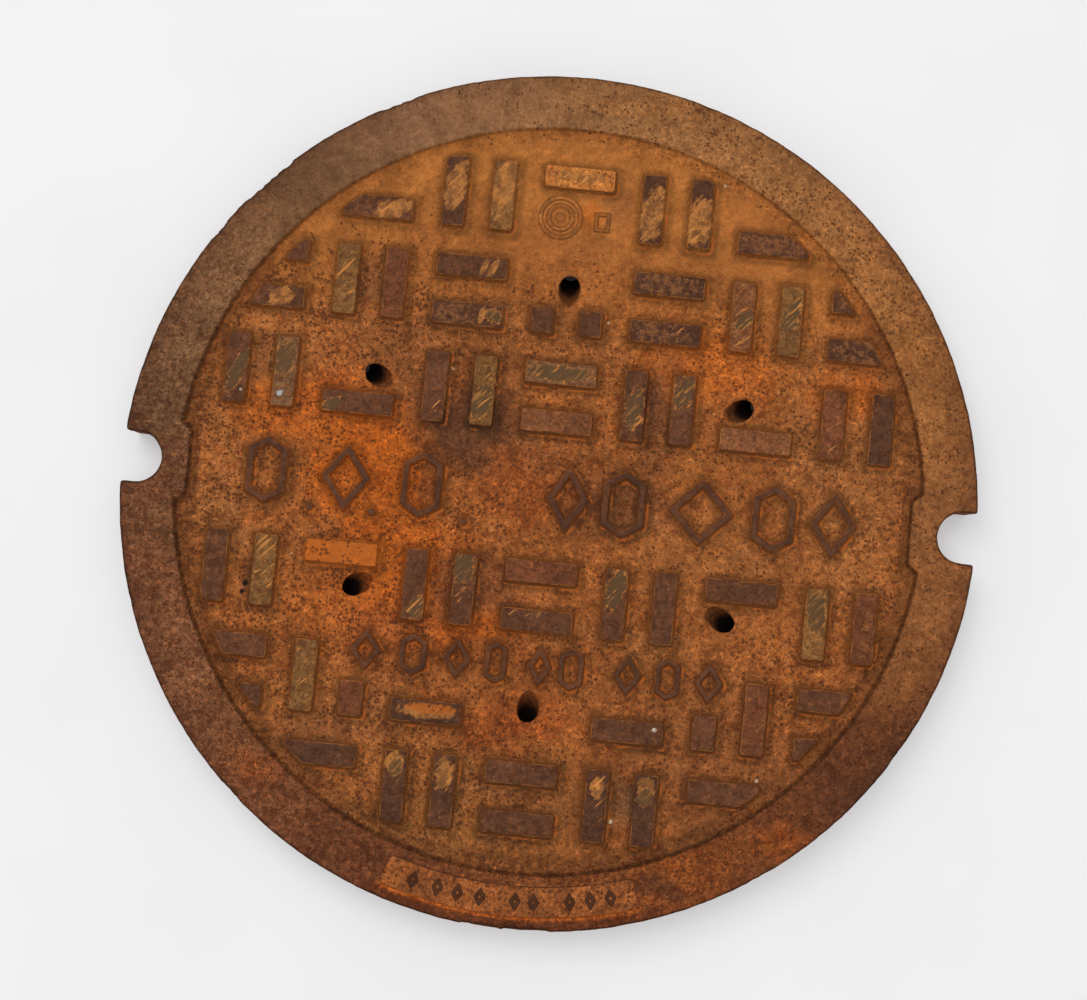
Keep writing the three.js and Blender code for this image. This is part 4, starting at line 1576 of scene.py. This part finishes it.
def ridge_material():
    """For the figures and other small raised lines: brown tops with orange lips in places."""
    rust, skirt = raised_face("rusted_ridges", 0.6)
    lip = rust.step(rust.math("ABSOLUTE", rust.math("SUBTRACT", skirt, 0.35)), 0.30, 0.08)
    patchy = rust.step(rust.noise(9, 3, shift=91), 0.48, 0.60)
    rust.lay(rust.product(lip, patchy, 0.65), paint((170, 96, 42)))
    rust.pit(0.35, 0.28)
    return rust.done(0.3, rough=(0.74, 0.90))


def plaque_material():
    rust, _ = raised_face("rusted_plaque", 1.0, top_edge=0.6)
    flecks = rust.step(rust.noise(3.0, 4, 0.7, shift=45), 0.52, 0.62)
    rust.lay(rust.product(flecks, 0.75), paint((78, 44, 26)))
    rust.pit(0.6, 0.34)
    return rust.done(0.4)


GILT_DARK = paint((130, 84, 44))
GILT = paint((182, 118, 60))


def bar_material():
    """Dark worn tops, with the patches of BAR_LOOKS laid over them."""
    rust, skirt = raised_face("worn_bars", 1.1)
    on_top = rust.step(skirt, 0.7, 0.3)
    along = rust.stretched(52, 15, 3.2)
    uneven = rust.math("ADD", rust.drift(7, 0.9, shift=3), rust.drift(1.0, 1.5, place=along))
    streaks = rust.step(rust.noise(1.0, 3, 0.6, place=rust.stretched(50, 16, 2.0)), 0.54, 0.64)
    scratches = rust.stretched(46, 26, 3.2)
    lines = rust.step(rust.noise(1.0, 2, 0.6, place=scratches, shift=9), 0.61, 0.66)
    flecks = rust.step(rust.noise(3.6, 5, 0.75, shift=40), 0.47, 0.58)
    blotches = rust.step(rust.noise(7.5, 5, 0.72, shift=77), 0.47, 0.58)
    rust.tint(rust.product(blotches, on_top, 0.8), (1.22, 1.16, 1.04))
    golden = rust.mix(rust.step(rust.noise(8, 5, 0.72, shift=13), 0.4, 0.6), GILT_DARK, GILT)

    def patch(name, low=0.42, high=0.56):
        return rust.step(rust.math("ADD", rust.attribute(name), uneven), low, high)

    # Gilded patches, with brighter scratches in them.
    gold = rust.product(patch("gold", 0.40, 0.62), rust.step(flecks, 0, 1, to=(0.92, 0.50)))
    rust.lay(gold, golden)
    rust.lay(rust.product(lines, patch("gold", 0.45, 0.60), 0.7), paint((206, 136, 70)))
    # Brown patina with a bright ragged border.
    patina = patch("patina")
    mixed = rust.mix(streaks, paint((90, 66, 42)), paint((146, 98, 50)))
    rust.lay(rust.product(patina, 0.85, on_top), mixed)
    border = rust.product(patch("patina", 0.30, 0.40), rust.step(patina, 0.9, 0.2), flecks)
    rust.lay(rust.product(border, 0.8), paint((196, 124, 60)))
    # Scratches, pale flakes, and fresh rust.
    rust.lay(rust.product(lines, patch("scratched", 0.38, 0.62), 0.85), paint((196, 126, 64)))
    rust.tint(rust.product(streaks, patch("scratched", 0.38, 0.62), 0.7), (1.45, 1.50, 1.40))
    flakes = rust.step(rust.noise(4.2, 4, 0.75, shift=44), 0.47, 0.55)
    rust.lay(rust.product(flakes, patch("speckled"), 0.60), paint((144, 91, 52)))
    bright = rust.product(patch("bright", 0.30, 0.60), rust.step(flecks, 0, 1, to=(0.95, 0.55)))
    rust.lay(rust.product(bright, 0.95), paint((174, 94, 32)))
    # A bright line along parts of the top's edge.
    lip = rust.step(rust.math("ABSOLUTE", rust.math("SUBTRACT", skirt, 0.42)), 0.24, 0.06)
    patchy = rust.step(rust.noise(16, 3, shift=91), 0.46, 0.58)
    rust.lay(rust.product(lip, patchy, 0.60), paint((184, 118, 58)))
    rust.pit(rust.attribute("pitted"))
    rust.chip()
    rust.raise_by(streaks, 0.2)
    return rust.done(0.3, rough=(0.66, 0.84))


def floor_material():
    """White and evenly lit: it glows a little, so that its shadows stay faint. Under the
    cover's deck it is painted dark, as painted shade, so that nothing shows through the vents."""
    g = Graph("pale_floor")
    shade = g.step(g.noise(160, 3), 0.3, 0.7, to=(0.975, 1.0))
    away = g.vector("LENGTH", g.place, output="Value")
    # Painted shade: the floor under the cover's deck is dark.
    deck_painted_shade = g.step(away, SKIRT_RADIUS, NOTCH_INNER_END - 4, to=(0.04, 1.0))
    colour = g.dimmed((0.55, 0.55, 0.553), g.product(shade, deck_painted_shade))
    return g.finish(colour, 0.9, g.noise(6, 2), 0.05, specular=0.1, glow=0.62)


# ---- Floor, lights and camera ----
FLOOR_SIDE_M = 12.0


def make_floor():
    """A floor for the renders, level with the cover's foot."""
    corners = rectangle(0, 0, FLOOR_SIDE_M, FLOOR_SIDE_M)
    mesh = bpy.data.meshes.new("floor")
    mesh.from_pydata([(x, y, LOW.z) for x, y in corners], [], [(0, 1, 2, 3)])
    mesh.materials.append(floor_material())
    floor = bpy.data.objects.new("floor", mesh)
    bpy.context.scene.collection.objects.link(floor)


def area_light(name, place, size, brightness):
    """A square light aimed at the cover's middle. `brightness` is what a white matt face
    lying at the origin would show from it alone."""
    data = bpy.data.lights.new(name, "AREA")
    data.shape = "SQUARE"
    data.size = size
    place = Vector(place)
    data.energy = brightness * math.pi**2 * place.length**2 / (place.z / place.length)
    light = bpy.data.objects.new(name, data)
    light.location = place
    light.rotation_euler = place.to_track_quat("Z", "Y").to_euler()
    bpy.context.scene.collection.objects.link(light)


def make_lights():
    world = bpy.data.worlds.new("soft_room")
    world.use_nodes = True
    backdrop = world.node_tree.nodes["Background"]
    backdrop.inputs["Color"].default_value = (0.99, 0.995, 1.0, 1)
    backdrop.inputs["Strength"].default_value = 0.54
    bpy.context.scene.world = world
    area_light("soft_key", (-1.7, 2.1, 5.2), 3.4, 0.30)
    area_light("overhead", (0.3, 0.2, 6.0), 5.0, 0.25)


CAMERA_DISTANCE_M = 1.7
CAMERA_LEAN_DEG = 4.7
CAMERA_ROLL_DEG = 5.7
CAMERA_LENS = 70.58
# How far the point looked at lies to the right of the cover's middle, and above it.
CAMERA_CENTRE = (-4.2, -2.5)


def make_camera():
    """Almost straight above, leaning a little towards -Y, with the cover turned clockwise."""
    roll, lean = math.radians(CAMERA_ROLL_DEG), math.radians(CAMERA_LEAN_DEG)
    right = Vector((math.cos(roll), math.sin(roll), 0))
    up = Vector((-math.sin(roll), math.cos(roll), 0))
    target = Vector((0, 0, RIM_TOP * MM))
    target += right * CAMERA_CENTRE[0] * MM + up * CAMERA_CENTRE[1] * MM
    back = Vector((0, 0, math.cos(lean))) - up * math.sin(lean)
    true_up = up * math.cos(lean) + Vector((0, 0, math.sin(lean)))
    data = bpy.data.cameras.new("camera")
    data.lens = CAMERA_LENS
    data.clip_end = 30
    camera = bpy.data.objects.new("camera", data)
    turn = Matrix((right, true_up, back)).transposed().to_4x4()
    camera.matrix_world = Matrix.Translation(target + back * CAMERA_DISTANCE_M) @ turn
    bpy.context.scene.collection.objects.link(camera)
    bpy.context.scene.camera = camera


# ---- Build ----
make_field(field_material())
make_rim(rim_material())
make_bars(bar_material())
ridge_look = ridge_material()
make_band("middle_figures", MIDDLE_BAND, ridge_look)
make_band("lower_figures", LOWER_BAND, ridge_look)
make_pips(ridge_look)
make_boss(ridge_look)
make_small_frame(ridge_look)
make_plaque(plaque_material())
make_plaque_marks(mark_material())
make_underside(ridge_look)

make_floor()
make_lights()
make_camera()
bpy.context.scene.view_settings.view_transform = "Standard"
